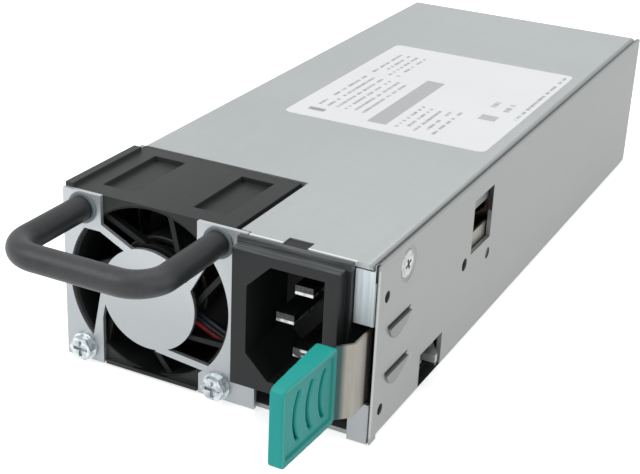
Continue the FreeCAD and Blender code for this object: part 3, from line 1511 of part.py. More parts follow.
def grip_groove(index):
    """One bowed finger groove in the grip's outer face."""
    lowest = d.latch_z - d.rib_height / 2
    spot = -d.grip_back - d.rib_first - d.rib_pitch * index
    deep = GRIP_FRONT_RIGHT - d.grip_recess - d.rib_depth
    ring = tube(f"groove_ring_{index}", "x", (deep, spot + d.rib_curve, d.latch_z),
                d.rib_curve + d.rib_width / 2, d.rib_curve - d.rib_width / 2, d.rib_depth * 5)
    window = box(f"groove_window_{index}", (deep, spot - d.rib_width, lowest),
                 (d.rib_depth * 5, d.rib_curve / 2, d.rib_height))
    return common(f"groove_{index}", ring, window)


def latch():
    hole = rod("strip_hole", "x", (LATCH_X - d.strip_thick, d.strip_pivot, d.rivet_level),
               d.rivet_radius + d.rivet_swing_gap, d.strip_thick * 2)
    strip = cut("latch_strip", joined("strip_solid", [strip_band()] + latch_hook()), [hole])
    node(strip)
    grooves = [grip_groove(index) for index in range(int(d.rib_count.value))]
    node(cut("latch_grip", grip_block(), [strip] + grooves))
    inner_face = LATCH_X - HALF_STRIP - d.rivet_swing_gap
    head = rod("rivet_head", "x", (inner_face - d.rivet_head_height, d.strip_pivot, d.rivet_level),
               d.rivet_head_radius, d.rivet_head_height)
    shank = rod("rivet_shank", "x", (inner_face, d.strip_pivot, d.rivet_level), d.rivet_radius,
                d.case_width - d.rivet_end_recess - inner_face)
    node(joined("latch_rivet", [head, shank]))


# ---- main board ----------------------------------------------------------------------------------

def fixing_spots():
    """Where the board stands on its standoffs."""
    columns = (d.board_left + d.standoff_inset, d.board_right - d.standoff_inset)
    rows = (BOARD_FRONT + d.standoff_inset, (BOARD_FRONT + BOARD_REAR) / 2, BOARD_REAR - d.standoff_inset)
    return [(f"{across}{along}", x, y) for across, x in enumerate(columns) for along, y in enumerate(rows)]


def main_board():
    board = body("board_sheet", 0, 0, BOARD_BOTTOM)
    tongue_right = d.tongue_left + d.tongue_width
    tongue_end = d.case_length + d.tongue_length
    face = sketch_on(board, "XY_Plane", "board_face")
    outline(face, [
        (d.board_left, BOARD_FRONT), (d.board_right, BOARD_FRONT), (d.board_right, BOARD_REAR),
        (tongue_right, BOARD_REAR), (tongue_right, tongue_end), (d.tongue_left, tongue_end),
        (d.tongue_left, BOARD_REAR), (d.board_left, BOARD_REAR),
    ])
    pad(board, face, "board_pad", d.board_thick)
    holes = []
    posts = []
    clear = []
    screws = []
    for spot, x, y in fixing_spots():
        holes.append(rod(f"board_hole_{spot}", "z", (x, y, 0), d.board_hole_radius, BOARD_TOP * 2))
        posts.append(tube(f"standoff_{spot}", "z", (x, y, d.sheet), d.standoff_radius,
                          d.board_screw_core + d.thread_gap, d.standoff_height))
        clear.append(rod(f"insulator_hole_{spot}", "z", (x, y, 0), d.standoff_radius + d.fit_gap,
                         BOARD_BOTTOM))
        head = rod(f"board_head_{spot}", "z", (x, y, BOARD_TOP), d.board_screw_head,
                   d.board_screw_head_height)
        shank = rod(f"board_shank_{spot}", "z", (x, y, BOARD_TOP - d.board_screw_length), d.board_screw_core,
                    d.board_screw_length)
        screws.append(joined(f"board_screw_{spot}", [head, shank]))
    node(cut("main_board", board, holes))
    node(group("board_standoffs", posts))
    node(group("board_screws", screws))
    inset = d.insulator_inset
    film = box("insulator_film", (d.board_left - inset, BOARD_FRONT - inset, d.sheet),
               (d.board_right - d.board_left + inset * 2, BOARD_REAR - BOARD_FRONT + inset * 2,
                d.insulator_thick))
    node(cut("insulator_sheet", film, clear))


def edge_contacts():
    """Gold contacts on the top of the tongue that plugs into the server's backplane."""
    first = d.tongue_left + d.tongue_width / 2 - d.contact_pitch * (d.contact_count - 1) / 2
    front = d.case_length + d.tongue_length - d.contact_end - d.contact_length
    strips = []
    for index in range(int(d.contact_count.value)):
        x = first + d.contact_pitch * index - d.contact_width / 2
        strips.append(box(f"contact_{index}", (x, front, BOARD_TOP),
                          (d.contact_width, d.contact_length, d.contact_thick)))
    node(group("edge_contacts", strips))


def choke(name, x, y, radius, wire):
    """A ring choke lying on the board."""
    ring = doc.addObject("Part::Torus", name)
    bind(ring, "Radius1", radius)
    bind(ring, "Radius2", wire)
    return node(place(ring, x, y, BOARD_TOP + wire))


def mains_side():
    choke("common_mode_choke", d.emi_choke_x, d.emi_choke_y, d.emi_choke_radius, d.emi_choke_wire)
    node(box("x_capacitor", (d.x_capacitor_left, d.x_capacitor_front, BOARD_TOP),
             (d.x_capacitor_width, d.x_capacitor_length, d.x_capacitor_height)))
    node(rod("fuse", "y", (d.fuse_x, d.fuse_front, BOARD_TOP + d.fuse_radius), d.fuse_radius, d.fuse_length))
    discs = []
    for index in range(2):
        discs.append(rod(f"y_capacitor_{index}", "y",
                         (d.y_capacitor_x + d.y_capacitor_pitch * index, d.y_capacitor_front,
                          BOARD_TOP + d.y_capacitor_radius), d.y_capacitor_radius, d.y_capacitor_thick))
    node(group("y_capacitors", discs))
    node(box("bridge_rectifier", (d.rectifier_left, d.rectifier_front, BOARD_TOP),
             (d.rectifier_width, d.rectifier_thick, d.rectifier_height)))
    node(box("rectifier_heatsink", (d.rectifier_left, d.rectifier_front + d.rectifier_thick, BOARD_TOP),
             (d.rectifier_width, d.heatsink_thick, d.heatsink_height)))


def bulk_capacitor():
    """The large electrolytic capacitor, lying along the case with its rolled rim to the front."""
    can = body("bulk_capacitor", d.bulk_x, d.bulk_front, BOARD_TOP + d.bulk_radius)
    profile = sketch_on(can, "XY_Plane", "can_profile")
    neck = d.bulk_radius - d.bulk_rim / 2
    outline(profile, [
        (0, 0), (d.bulk_radius, 0), (d.bulk_radius, d.bulk_rim), (neck, d.bulk_rim * 1.5),
        (d.bulk_radius, d.bulk_rim * 2), (d.bulk_radius, d.bulk_length), (0, d.bulk_length),
    ])
    turn = can.newObject("PartDesign::Revolution", "can")
    turn.Profile = profile
    turn.ReferenceAxis = (next(f for f in can.Origin.OriginFeatures if f.Role == "Y_Axis"), [""])
    turn.Angle = 360
    node(can)


def heatsink(name, corner, along, length):
    """An upright plate with fins, along the case (y) or across it (x)."""
    pieces = []
    x, y = size(corner[0]), size(corner[1])
    if along == "y":
        pieces.append(box(name + "_plate", (x, y, BOARD_TOP), (d.heatsink_thick, length, d.heatsink_height)))
    else:
        pieces.append(box(name + "_plate", (x, y, BOARD_TOP), (length, d.heatsink_thick, d.heatsink_height)))
    step = (length - d.fin_thick) / (d.fin_count - 1)
    for index in range(int(d.fin_count.value)):
        offset = step * index
        if along == "y":
            start = (x - d.fin_depth, y + offset, BOARD_TOP + d.transistor_lift)
            sides = (d.fin_depth, d.fin_thick, d.heatsink_height - d.transistor_lift)
        else:
            start = (x + offset, y + d.heatsink_thick, BOARD_TOP + d.transistor_lift)
            sides = (d.fin_thick, d.fin_depth, d.heatsink_height - d.transistor_lift)
        pieces.append(box(f"{name}_fin_{index}", start, sides))
    return node(joined(name, pieces))


def transistors(name, corner, along, count):
    """A row of transistor cases clamped to a heatsink's flat side, each with three legs to the board."""
    packs = []
    for index in range(int(count.value)):
        offset = d.transistor_pitch * index
        if along == "y":
            start = (corner[0], corner[1] + offset, BOARD_TOP + d.transistor_lift)
            sides = (d.transistor_thick, d.transistor_width, d.transistor_height)
            leg = (corner[0] + d.transistor_thick / 3, corner[1] + offset + d.transistor_width / 4, BOARD_TOP)
            foot = (d.transistor_thick / 3, d.transistor_width / 2, d.transistor_lift)
        else:
            start = (corner[0] + offset, corner[1] - d.transistor_thick, BOARD_TOP + d.transistor_lift)
            sides = (d.transistor_width, d.transistor_thick, d.transistor_height)
            leg = (corner[0] + offset + d.transistor_width / 4, corner[1] - d.transistor_thick * 2 / 3,
                   BOARD_TOP)
            foot = (d.transistor_width / 2, d.transistor_thick / 3, d.transistor_lift)
        packs.append(joined(f"{name}_{index}", [
            box(f"{name}_case_{index}", start, sides), box(f"{name}_legs_{index}", leg, foot)]))
    node(group(name, packs))


def power_stages():
    bulk_capacitor()
    choke("boost_choke", d.pfc_choke_x, d.pfc_choke_y, d.pfc_choke_radius, d.pfc_choke_wire)
    heatsink("primary_heatsink", (d.primary_sink_x, d.primary_sink_front), "y", d.primary_sink_length)
    primary_corner = (d.primary_sink_x + d.heatsink_thick, d.primary_sink_front + d.fin_thick)
    transistors("primary_transistors", primary_corner, "y", d.primary_transistor_count)
    heatsink("secondary_heatsink", (d.secondary_sink_left, d.secondary_sink_y), "x", d.secondary_sink_length)
    transistors("secondary_transistors", (d.secondary_sink_left + d.fin_thick, d.secondary_sink_y), "x",
                d.secondary_transistor_count)
    transformer()
    node(box("output_inductor", (d.inductor_left, d.inductor_front, BOARD_TOP),
             (d.inductor_side, d.inductor_side, d.inductor_height)))
    cans = []
    for column in range(int(d.output_capacitor_columns.value)):
        for row in range(int(d.output_capacitor_rows.value)):
            cans.append(rod(f"output_capacitor_{column}_{row}", "z",
                            (d.output_capacitor_x + d.output_capacitor_pitch * column,
                             d.output_capacitor_y + d.output_capacitor_pitch * row, BOARD_TOP),
                            d.output_capacitor_radius, d.output_capacitor_height))
    node(group("output_capacitors", cans))


def transformer():
    """Ferrite core with two windows, and the winding round its middle leg."""
    x, y = d.transformer_left, d.transformer_front
    opening = (d.transformer_width - d.transformer_leg - d.transformer_side * 2) / 2
    height = d.transformer_height - d.transformer_plate * 2
    depth = d.transformer_depth
    block = box("core_block", (x, y, BOARD_TOP), (d.transformer_width, depth, d.transformer_height))
    lefts = (("left", x + d.transformer_side),
             ("right", x + d.transformer_side + opening + d.transformer_leg))
    windows = [box(f"{side}_core_window", (start, y - depth / 4, BOARD_TOP + d.transformer_plate),
                   (opening, depth * 1.5, height)) for side, start in lefts]
    core = node(cut("transformer_core", block, windows))
    radius = d.transformer_leg / 2 + opening - d.winding_gap
    wound = rod("wound_block", "z", (x + d.transformer_width / 2, y + depth / 2,
                                     BOARD_TOP + d.transformer_plate), radius, height)
    node(cut("transformer_winding", wound, [core]))


def control_board():
    """The upright control board with its chips on the side that faces the middle of the case."""
    x = d.control_board_x
    node(box("control_board", (x, d.control_board_front, BOARD_TOP),
             (d.control_board_thick, d.control_board_length, d.control_board_height)))
    row = d.chip_pitch * (d.chip_count - 1) + d.chip_side
    first = d.control_board_front + (d.control_board_length - row) / 2
    chips = []
    for index in range(int(d.chip_count.value)):
        corner = (x - d.chip_thick, first + d.chip_pitch * index, BOARD_TOP + d.chip_level)
        chips.append(box(f"chip_{index}", corner, (d.chip_thick, d.chip_side, d.chip_side)))
    node(group("control_chips", chips))


# ---- build, check and write ----------------------------------------------------------------------

def check_and_write():
    doc.recompute()
    for thing in doc.Objects:
        if "Invalid" in thing.State or "Error" in thing.State:
            raise SystemExit(f"{thing.Label} could not be built")
    os.makedirs("parts", exist_ok=True)
    for thing in nodes:
        if thing.Shape.isNull() or not thing.Shape.isValid():
            raise SystemExit(f"{thing.Label} has no valid shape")
    for thing in nodes:
        thing.Shape.exportStep(f"parts/{thing.Label}.step")
        print(f"{thing.Label}: {len(thing.Shape.Solids)} solid(s), {thing.Shape.Volume:.1f} mm3")


chassis_tray()
top_cover()
cover_screws()
front_panel()
rating_label()
fan_frame()
fan_rotor()
fan_motor()
fan_screws()
fan_leads()
handle()
mains_inlet()
mains_leads()
latch()
main_board()
edge_contacts()
mains_side()
power_stages()
control_board()
check_and_write()
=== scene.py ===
"""Looks of the hot swap server power supply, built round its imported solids."""

import math

import bmesh
import bpy
from mathutils import Matrix, Vector


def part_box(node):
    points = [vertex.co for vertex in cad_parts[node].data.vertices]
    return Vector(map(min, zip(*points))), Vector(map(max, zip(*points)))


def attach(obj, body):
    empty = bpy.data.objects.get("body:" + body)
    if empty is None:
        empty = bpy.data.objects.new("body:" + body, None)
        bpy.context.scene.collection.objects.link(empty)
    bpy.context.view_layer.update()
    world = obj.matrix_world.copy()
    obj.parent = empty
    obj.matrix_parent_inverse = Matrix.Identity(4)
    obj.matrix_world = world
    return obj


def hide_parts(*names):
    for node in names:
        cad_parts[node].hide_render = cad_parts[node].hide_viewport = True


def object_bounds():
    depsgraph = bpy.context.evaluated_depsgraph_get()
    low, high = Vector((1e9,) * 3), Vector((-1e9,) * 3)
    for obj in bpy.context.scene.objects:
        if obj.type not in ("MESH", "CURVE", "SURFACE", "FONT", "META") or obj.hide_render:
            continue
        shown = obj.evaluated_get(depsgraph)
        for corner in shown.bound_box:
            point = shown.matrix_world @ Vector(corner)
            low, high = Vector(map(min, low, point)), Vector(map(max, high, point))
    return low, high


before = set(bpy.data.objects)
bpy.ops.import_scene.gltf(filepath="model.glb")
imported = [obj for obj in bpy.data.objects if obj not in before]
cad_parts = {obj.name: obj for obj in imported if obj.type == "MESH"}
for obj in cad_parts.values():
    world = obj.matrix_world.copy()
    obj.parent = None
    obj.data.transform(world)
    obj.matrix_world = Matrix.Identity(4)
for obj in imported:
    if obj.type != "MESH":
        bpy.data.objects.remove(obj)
cad_low, cad_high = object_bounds()
scene = bpy.context.scene


def new_object(name, data):
    """A new object in the scene."""
    thing = bpy.data.objects.new(name, data)
    scene.collection.objects.link(thing)
    return thing


# ---- camera --------------------------------------------------------------------------------------

CAMERA_PLACE = (0.12825, -0.3072, 0.1508)
CAMERA_DEGREES = (25.96, 24.36, 2.67)       # azimuth, elevation and roll
CAMERA_LENS = 77.2


def add_camera():
    """The camera: it stands in front and to the right, looks down and is rolled a little."""
    azimuth, elevation, roll = (math.radians(angle) for angle in CAMERA_DEGREES)
    level = math.cos(elevation)
    forward = Vector((-math.sin(azimuth) * level, math.cos(azimuth) * level, -math.sin(elevation)))
    right = forward.cross(Vector((0, 0, 1))).normalized()
    up = right.cross(forward)
    tilted_right = right * math.cos(roll) + up * math.sin(roll)
    tilted_up = up * math.cos(roll) - right * math.sin(roll)
    data = bpy.data.cameras.new("camera")
    data.lens = CAMERA_LENS
    data.sensor_width = 36
    data.clip_start = 0.01
    data.clip_end = 10
    camera = new_object("camera", data)
    turn = Matrix((tilted_right, tilted_up, -forward)).transposed().to_4x4()
    camera.matrix_world = Matrix.Translation(CAMERA_PLACE) @ turn
    scene.camera = camera


# ---- node expressions ----------------------------------------------------------------------------

EDGE_RADIUS = 0.00025
EDGE_SAMPLES = 6


class Value:
    """A number that varies over a surface or a shape; arithmetic on it adds Math nodes."""

    def __init__(self, finish, socket):
        self.finish = finish
        self.socket = socket

    def math(self, operation, *values):
        inputs = dict(enumerate((self, *values)))
        node = self.finish.add("ShaderNodeMath", {"operation": operation}, inputs)
        return Value(self.finish, node.outputs[0])

    def __add__(self, other):
        return self.math("ADD", other)

    def __sub__(self, other):
        return self.math("SUBTRACT", other)

    def __rsub__(self, other):
        return (self * -1).math("ADD", other)

    def __mul__(self, other):
        return self.math("MULTIPLY", other)

    def __truediv__(self, other):
        return self.math("DIVIDE", other)

    def __gt__(self, other):
        return self.math("GREATER_THAN", other)

    def __lt__(self, other):
        return self.math("LESS_THAN", other)

    __radd__ = __add__

    def power(self, other):
        return self.math("POWER", other)

    def most(self, other):
        return self.math("MAXIMUM", other)

    def size(self):
        """The value without its sign."""
        return self.math("ABSOLUTE")

    def cosine(self):
        return self.math("COSINE")

    def sine(self):
        return self.math("SINE")

    def floor(self):
        return self.math("FLOOR")

    def between(self, low, high):
        """1 where the value lies between two limits."""
        return (self > low) * (self < high)

    def ramp(self, low, high):
        """0 below low, 1 above high and a straight run between them."""
        node = self.finish.add("ShaderNodeMapRange", {"clamp": True},
                               {0: self, 1: low, 2: high, 3: 0.0, 4: 1.0})
        return Value(self.finish, node.outputs[0])


class Tree:
    """A node tree that is filled by plain calls."""

    def add(self, kind, settings=None, inputs=None):
        """Any node: its settings first, then the values or links of its sockets."""
        node = self.tree.nodes.new(kind)
        for name, value in (settings or {}).items():
            setattr(node, name, value)
        for key, value in (inputs or {}).items():
            self.feed(node.inputs[key], value)
        return node

    def feed(self, socket, value):
        if isinstance(value, Value):
            self.tree.links.new(value.socket, socket)
        elif isinstance(value, bpy.types.NodeSocket):
            self.tree.links.new(value, socket)
        else:
            socket.default_value = value

    def parts(self, vector):
        """The three numbers of a vector."""
        split = self.add("ShaderNodeSeparateXYZ", {}, {0: vector})
        return [Value(self, output) for output in split.outputs]

    def vector(self, x, y, z):
        return self.add("ShaderNodeCombineXYZ", {}, {0: x, 1: y, 2: z}).outputs[0]

    def blend(self, amount, first, second):
        """From the first colour to the second as the amount goes from 0 to 1."""
        node = self.add("ShaderNodeMix", {"data_type": "RGBA"})
        self.feed(node.inputs[0], amount)
        for socket, value in ((node.inputs[6], first), (node.inputs[7], second)):
            self.feed(socket, (*value, 1.0) if isinstance(value, tuple) else value)
        return node.outputs[2]


class Finish(Tree):
    """A material whose shader is written as expressions; tone keeps its plain colour, for what is
    laid over it."""

    def __init__(self, name):
        self.material = bpy.data.materials.new(name)
        self.material.use_nodes = True
        self.tree = self.material.node_tree
        self.shader = self.tree.nodes["Principled BSDF"]
        self.place = self.add("ShaderNodeTexCoord").outputs["Object"]
        self.x, self.y, self.z = self.parts(self.place)
        self.tone = None

    def fixed(self, **values):
        """Plain values on the shader's own sockets."""
        for name, value in values.items():
            self.shader.inputs[name.replace("_", " ")].default_value = value

    def colour(self, value):
        self.feed(self.shader.inputs["Base Color"], value)

    def rough(self, value):
        self.feed(self.shader.inputs["Roughness"], value)

    def metallic(self, value):
        self.feed(self.shader.inputs["Metallic"], value)

    def stretched(self, scale):
        """The surface's own coordinates, scaled apart along the three axes."""
        return self.add("ShaderNodeMapping", {}, {0: self.place, 3: scale}).outputs[0]

    def noise(self, size, detail, rough, stretch=None):
        """Soft noise with features about a size across, in metres."""
        place = self.stretched(stretch) if stretch else self.place
        node = self.add("ShaderNodeTexNoise", {"noise_dimensions": "3D"},
                        {"Vector": place, "Scale": 1 / size, "Detail": detail, "Roughness": rough})
        return Value(self, node.outputs["Fac"])

    def cells(self, size):
        """A random number for each cell of a crystal pattern."""
        node = self.add("ShaderNodeTexVoronoi", {"feature": "F1"},
                        {"Vector": self.place, "Scale": 1 / size})
        tone = self.add("ShaderNodeSeparateColor", {}, {0: node.outputs["Color"]})
        return Value(self, tone.outputs[0])

    def random(self, first, second):
        """A random number for each pair of whole numbers."""
        pair = self.add("ShaderNodeCombineXYZ", {}, {0: first, 1: second})
        node = self.add("ShaderNodeTexWhiteNoise", {"noise_dimensions": "2D"},
                        {"Vector": pair.outputs[0]})
        return Value(self, node.outputs["Value"])

    def bump(self, height, depth, strength):
        """Relief from a height between 0 and 1 that stands for a depth in metres."""
        node = self.add("ShaderNodeBump", {},
                        {"Strength": strength, "Distance": depth, "Height": height})
        self.feed(self.shader.inputs["Normal"], node.outputs[0])

    def edge_bump(self, height, depth):
        """Relief over edges that look a little rounded."""
        soft = self.add("ShaderNodeBevel", {"samples": EDGE_SAMPLES}, {"Radius": EDGE_RADIUS})
        node = self.add("ShaderNodeBump", {}, {
            "Strength": 1.0, "Distance": depth, "Height": height, "Normal": soft.outputs[0]})
        self.feed(self.shader.inputs["Normal"], node.outputs[0])


def finished_mesh(thing):
    """An object's mesh with its modifiers applied."""
    whole = thing.evaluated_get(bpy.context.evaluated_depsgraph_get())
    return bpy.data.meshes.new_from_object(whole)


class Growth(Tree):
    """A Geometry Nodes tree with named sizes that is grown into a plain mesh."""

    def __init__(self, name, **sizes):
        self.tree = bpy.data.node_groups.new(name, "GeometryNodeTree")
        face = self.tree.interface
        face.new_socket("Geometry", in_out="INPUT", socket_type="NodeSocketGeometry")
        face.new_socket("Geometry", in_out="OUTPUT", socket_type="NodeSocketGeometry")
        kinds = {int: "NodeSocketInt", float: "NodeSocketFloat", tuple: "NodeSocketVector"}
        self.sizes = {}
        for label, value in sizes.items():
            socket = face.new_socket(label, in_out="INPUT", socket_type=kinds[type(value)])
            self.sizes[socket.identifier] = value
        self.entry = self.add("NodeGroupInput")
        self.exit = self.add("NodeGroupOutput")

    def given(self, label):
        return Value(self, self.entry.outputs[label])

    def placed(self):
        """Each point's own place, as three numbers."""
        return self.parts(self.add("GeometryNodeInputPosition").outputs[0])

    def index(self):
        return Value(self, self.add("GeometryNodeInputIndex").outputs[0])

    def moved(self, shape, place):
        node = self.add("GeometryNodeSetPosition", {}, {"Geometry": shape, "Position": place})
        return node.outputs[0]

    def joined(self, *shapes):
        join = self.add("GeometryNodeJoinGeometry")
        for shape in shapes:
            self.feed(join.inputs[0], shape)
        return join.outputs[0]

    def repeated(self, shape, count, turn, place=(0.0, 0.0, 0.0)):
        """Copies of a shape at the places and turns of a row of points."""
        points = self.add("GeometryNodePoints", {}, {"Count": count, "Position": place})
        copies = self.add("GeometryNodeInstanceOnPoints", {}, {
            "Points": points.outputs[0], "Instance": shape, "Rotation": turn})
        return copies.outputs[0]

    def grow(self, name, base, shape, finish):
        """The tree's result on a base mesh, as a plain piece with one finish."""
        real = self.add("GeometryNodeRealizeInstances", {}, {0: shape})
        dressed = self.add("GeometryNodeSetMaterial", {}, {0: real.outputs[0], 2: finish.material})
        self.feed(self.exit.inputs[0], dressed.outputs[0])
        start = new_object(name + "_start", base)
        modifier = start.modifiers.new(name, "NODES")
        modifier.node_group = self.tree
        for identifier, value in self.sizes.items():
            modifier[identifier] = value
        mesh = finished_mesh(start)
        bpy.data.objects.remove(start)
        return piece_of(name, mesh)


# ---- finishes ------------------------------------------------------------------------------------

tray_low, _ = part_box("chassis_tray")
LEFT, FRONT = tray_low.x, tray_low.y

# Places on the case in bench millimetres: across from its left side, along from its front and up
# from its floor. A pair is where a stretch starts and ends.
RIGHT_SIDE = 60.0               # the right wall's marks stay to the right of this
COVER_BEND = (94.95, 95.2)      # where painted shade on its right bend begins, by across plus 0.6 of up
COVER_BEND_SOFT = (94.4, 94.8)  # the same for the soft shade beside it
# Across the case: where the cover's cut edge over the inlet gets a painted highlight.
COVER_CUT_EDGE = (44.0, 68.5)
WALL_INSIDE = 72.6
WALL_MIDDLE = 72.85
WALL_OUTSIDE = 73.42
WALL_TOP = 39.0
WALL_EDGE_UP = (1.5, 38.5)      # the stretch of the wall's front edge with a painted highlight
WALL_HOLES = (                  # along, up and reach of each round hole
    (4.3, 31.5, 1.5),
    (4.3, 6.2, 1.5),
    (47.0, 21.0, 1.8),
    (62.0, 18.0, 1.7),
)
LANCE_ALONG = 11.0
LANCE_TOPS = (24.3, 13.8)
LANCE_RISE = 1.5                # from a lance's straight top up to the centre of its round
LANCE_RADIUS = 5.7
DIMPLE_ALONG, DIMPLE_UP = 14.0, 34.6
DIMPLE_RIM = (3.55, 3.85)
HOOK_WINDOW = (24.0, 36.8)
HOOK_START = 26.0               # from here back the strip is its hook
HOOK_TOP = 9.4
HOOK_TOOTH = (4.9, 7.0)
SIDE_WINDOW, SIDE_WINDOW_UP = (50.2, 62.8), (28.5, 35.4)
FLANGE_DEPTH = 1.3
FLANGE_FULL_LIGHT = 14                # below this the front flange's painted light is weaker
STAMP_ALONG, STAMP_UP = (116, 143), (12, 23)
STAMP_LINE = 3.6
STAMP_LETTERS = 0.62            # letters to the millimetre
FAN_TUNNEL = 19.3               # radius of the round opening for the fan's wheel
INLET_TAB = (52.0, 58.5)
INLET_LEDGE = 37.8
INLET_FRONT = -3.6
INLET_CAVITY, INLET_CAVITY_UP = (46.9, 63.9), (10.2, 35.6)
INLET_DEPTHS = (1.0, 9.0)       # where the painted light in its cavity grows from least to most, along


def bench(finish):
    """Millimetres from the case's left front bottom corner."""
    return (finish.x - LEFT) * 1000, (finish.y - FRONT) * 1000, finish.z * 1000


def zinc_sheet(name, bright, dull):
    """Zinc plated sheet: soft clouds, faint crystals, fine rolling lines and small scuffs."""
    finish = Finish(name)
    clouds = finish.noise(0.06, 2.0, 0.5)
    crystals = finish.cells(0.0014)
    lines = finish.noise(0.0009, 2.0, 0.5, stretch=(1.0, 0.03, 1.0))
    scuffs = finish.noise(0.006, 5.0, 0.7).ramp(0.66, 0.74)
    mottle = (clouds * 0.6 + crystals * 0.12 + lines * 0.28).ramp(0.25, 0.75)
    finish.tone = finish.blend(mottle, dull, bright)
    finish.colour(finish.tone)
    finish.rough(0.44 + clouds * 0.08 + crystals * 0.03 + scuffs * 0.06)
    finish.metallic(0.74 - scuffs * 0.10)
    finish.bump(lines, 0.00001, 0.4)
    return finish


def cover_sheet():
    """The cover's sheet: painted shade along its right bend and behind the side window, with a
    painted highlight on its cut edge over the inlet."""
    finish = zinc_sheet("zinc_cover", (0.543, 0.568, 0.571), (0.486, 0.508, 0.512))
    across, along, up = bench(finish)
    right = across > RIGHT_SIDE
    slope = across + up * 0.6
    # Painted shade over the right bend, and softer painted shade beside it.
    bend = right * slope.ramp(*COVER_BEND)
    soft = right * slope.ramp(*COVER_BEND_SOFT)
    # Painted shade on the cover's flange where it shows through the side window.
    behind_window_shade = (across > 71.0) * along.between(49.5, 63.5) * (up < 38.0)
    shade = (bend * 0.4).most(soft * 0.34).most(behind_window_shade * 0.75)
    shaded = finish.blend(shade, finish.tone, (0.11, 0.115, 0.115))
    # A painted highlight along the cut edge over the inlet.
    cut_edge_highlight = across.between(*COVER_CUT_EDGE) * (along < 0.55)
    finish.colour(finish.blend(cut_edge_highlight * 0.9, shaded, (0.93, 0.95, 0.95)))
    return finish


def panel_sheet():
    """The front panel's sheet, a little paler toward the top."""
    finish = zinc_sheet("zinc_panel", (0.51, 0.535, 0.55), (0.47, 0.495, 0.507))
    _, _, up = bench(finish)
    finish.colour(finish.blend(up.ramp(14.0, 38.0) * 0.5, finish.tone, (0.72, 0.75, 0.77)))
    return finish


def distance(first, second, centre_first, centre_second):
    """How far a place is from a centre, in a plane of two numbers."""
    aside, above = first - centre_first, second - centre_second
    return (aside * aside + above * above).power(0.5)


def hole_shade(across, along, up):
    """Shade on the inner half of the wall's top edge and inside its round holes."""
    shade = across.between(RIGHT_SIDE, WALL_MIDDLE) * (up > WALL_TOP) * 0.6
    for hole_along, hole_up, reach in WALL_HOLES:
        near = distance(along, up, hole_along, hole_up) < reach
        shade = shade.most(near * across.between(RIGHT_SIDE, WALL_OUTSIDE) * 0.9)
    return shade


def lance_shade(right, along, up):
    """Shade under each pressed lance, along its outline and in its slit."""
    shade = None
    for top in LANCE_TOPS:
        bulge = distance(along, up, LANCE_ALONG, top + LANCE_RISE)
        pocket = right * (up < top) * (bulge < LANCE_RADIUS) * 0.30
        rim = bulge.between(LANCE_RADIUS - 0.3, LANCE_RADIUS + 0.15)
        outline = right * (up < top + 0.2) * rim * 0.36
        slit = right * up.between(top - 0.1, top + 0.3) * (bulge < LANCE_RADIUS + 0.2) * 0.9
        lance = pocket.most(outline).most(slit)
        shade = lance if shade is None else shade.most(lance)
    return shade


def window_shade(across, along, up):
    """Shade on the cut edges of the side window and the hook window."""
    pane = across.between(RIGHT_SIDE, WALL_OUTSIDE) * along.between(*SIDE_WINDOW)
    pane = pane * up.between(*SIDE_WINDOW_UP)
    window = (across > RIGHT_SIDE) * along.between(*HOOK_WINDOW)
    lip = window * (across > 72.4) * (up < 0.75) * 0.85
    sill = window * across.between(RIGHT_SIDE, 73.3) * up.between(0.1, 1.2) * 0.9
    return (pane * 0.85).most(lip).most(sill)


def flange_light(finish, across, along, up):
    """The tone of the sheet, with painted light on the front flange, strongest on its upper part,
    and a painted highlight on the wall's front edge."""
    streaks = finish.noise(0.0009, 3.0, 0.6, stretch=(1.0, 1.0, 0.03))
    bright = finish.blend(streaks.ramp(0.35, 0.65), (0.62, 0.67, 0.70), (0.80, 0.85, 0.88))
    # Painted light on the front flange, weaker low down; the streaks are its brushing.
    flange = finish.blend(up < FLANGE_FULL_LIGHT, bright, (0.43, 0.45, 0.465))
    front = (along < FLANGE_DEPTH) * across.between(RIGHT_SIDE, WALL_INSIDE)
    flanged = finish.blend(front, finish.tone, flange)
    # A painted highlight along the wall's front edge.
    edge = (across > 72.75) * (along < 0.5) * up.between(*WALL_EDGE_UP)
    return finish.blend(edge * 0.55, flanged, (0.62, 0.64, 0.63))


def wall_stamp(finish, across, along, up):
    """Generic stamped marks far back on the right wall, as a height from 0 to 1."""
    lines = (up - STAMP_UP[0]) / STAMP_LINE
    letters = along * STAMP_LETTERS
    line, letter = lines.floor(), letters.floor()
    wall = (across > 72.0) * along.between(*STAMP_ALONG) * up.between(*STAMP_UP)
    mark = (lines - line).between(0.2, 0.72) * (letters - letter).between(0.18, 0.82)
    return wall * mark * (finish.random(letter, line) > 0.25)


def side_sheet():
    """The tray's sheet: painted shade at its openings, lances, dimple and seam, painted light on
    its front flange, and a shallow stamp.
    """
    # Its tones are darker than the cover's: painted shade, since the side wall is less lit than the
    # top.
    finish = zinc_sheet("zinc_tray", (0.367, 0.379, 0.372), (0.328, 0.340, 0.333))
    across, along, up = bench(finish)
    right = across > RIGHT_SIDE
    # Painted shade in a thin ring round the rim of the screw's dimple.
    dimple_rim_shade = right * distance(along, up, DIMPLE_ALONG, DIMPLE_UP).between(*DIMPLE_RIM) * 0.16
    shade = hole_shade(across, along, up).most(lance_shade(right, along, up)).most(dimple_rim_shade)
    shade = shade.most(window_shade(across, along, up))
    finish.tone = finish.blend(shade, finish.tone, (0.03, 0.032, 0.03))
    finish.colour(flange_light(finish, across, along, up))
    finish.bump(wall_stamp(finish, across, along, up), 0.00010, 0.6)
    return finish


def bright_plating(name, bright, dull, size=0.0016):
    """Bright zinc or nickel plating with a mottled bloom."""
    finish = Finish(name)
    bloom = finish.noise(size, 4.0, 0.65)
    specks = finish.cells(size * 0.5)
    finish.colour(finish.blend((bloom * 0.7 + specks * 0.3).ramp(0.3, 0.7), dull, bright))
    finish.rough(0.22 + bloom * 0.22)
    finish.fixed(Metallic=1.0)
    finish.bump(bloom, 0.00006, 0.5)
    return finish


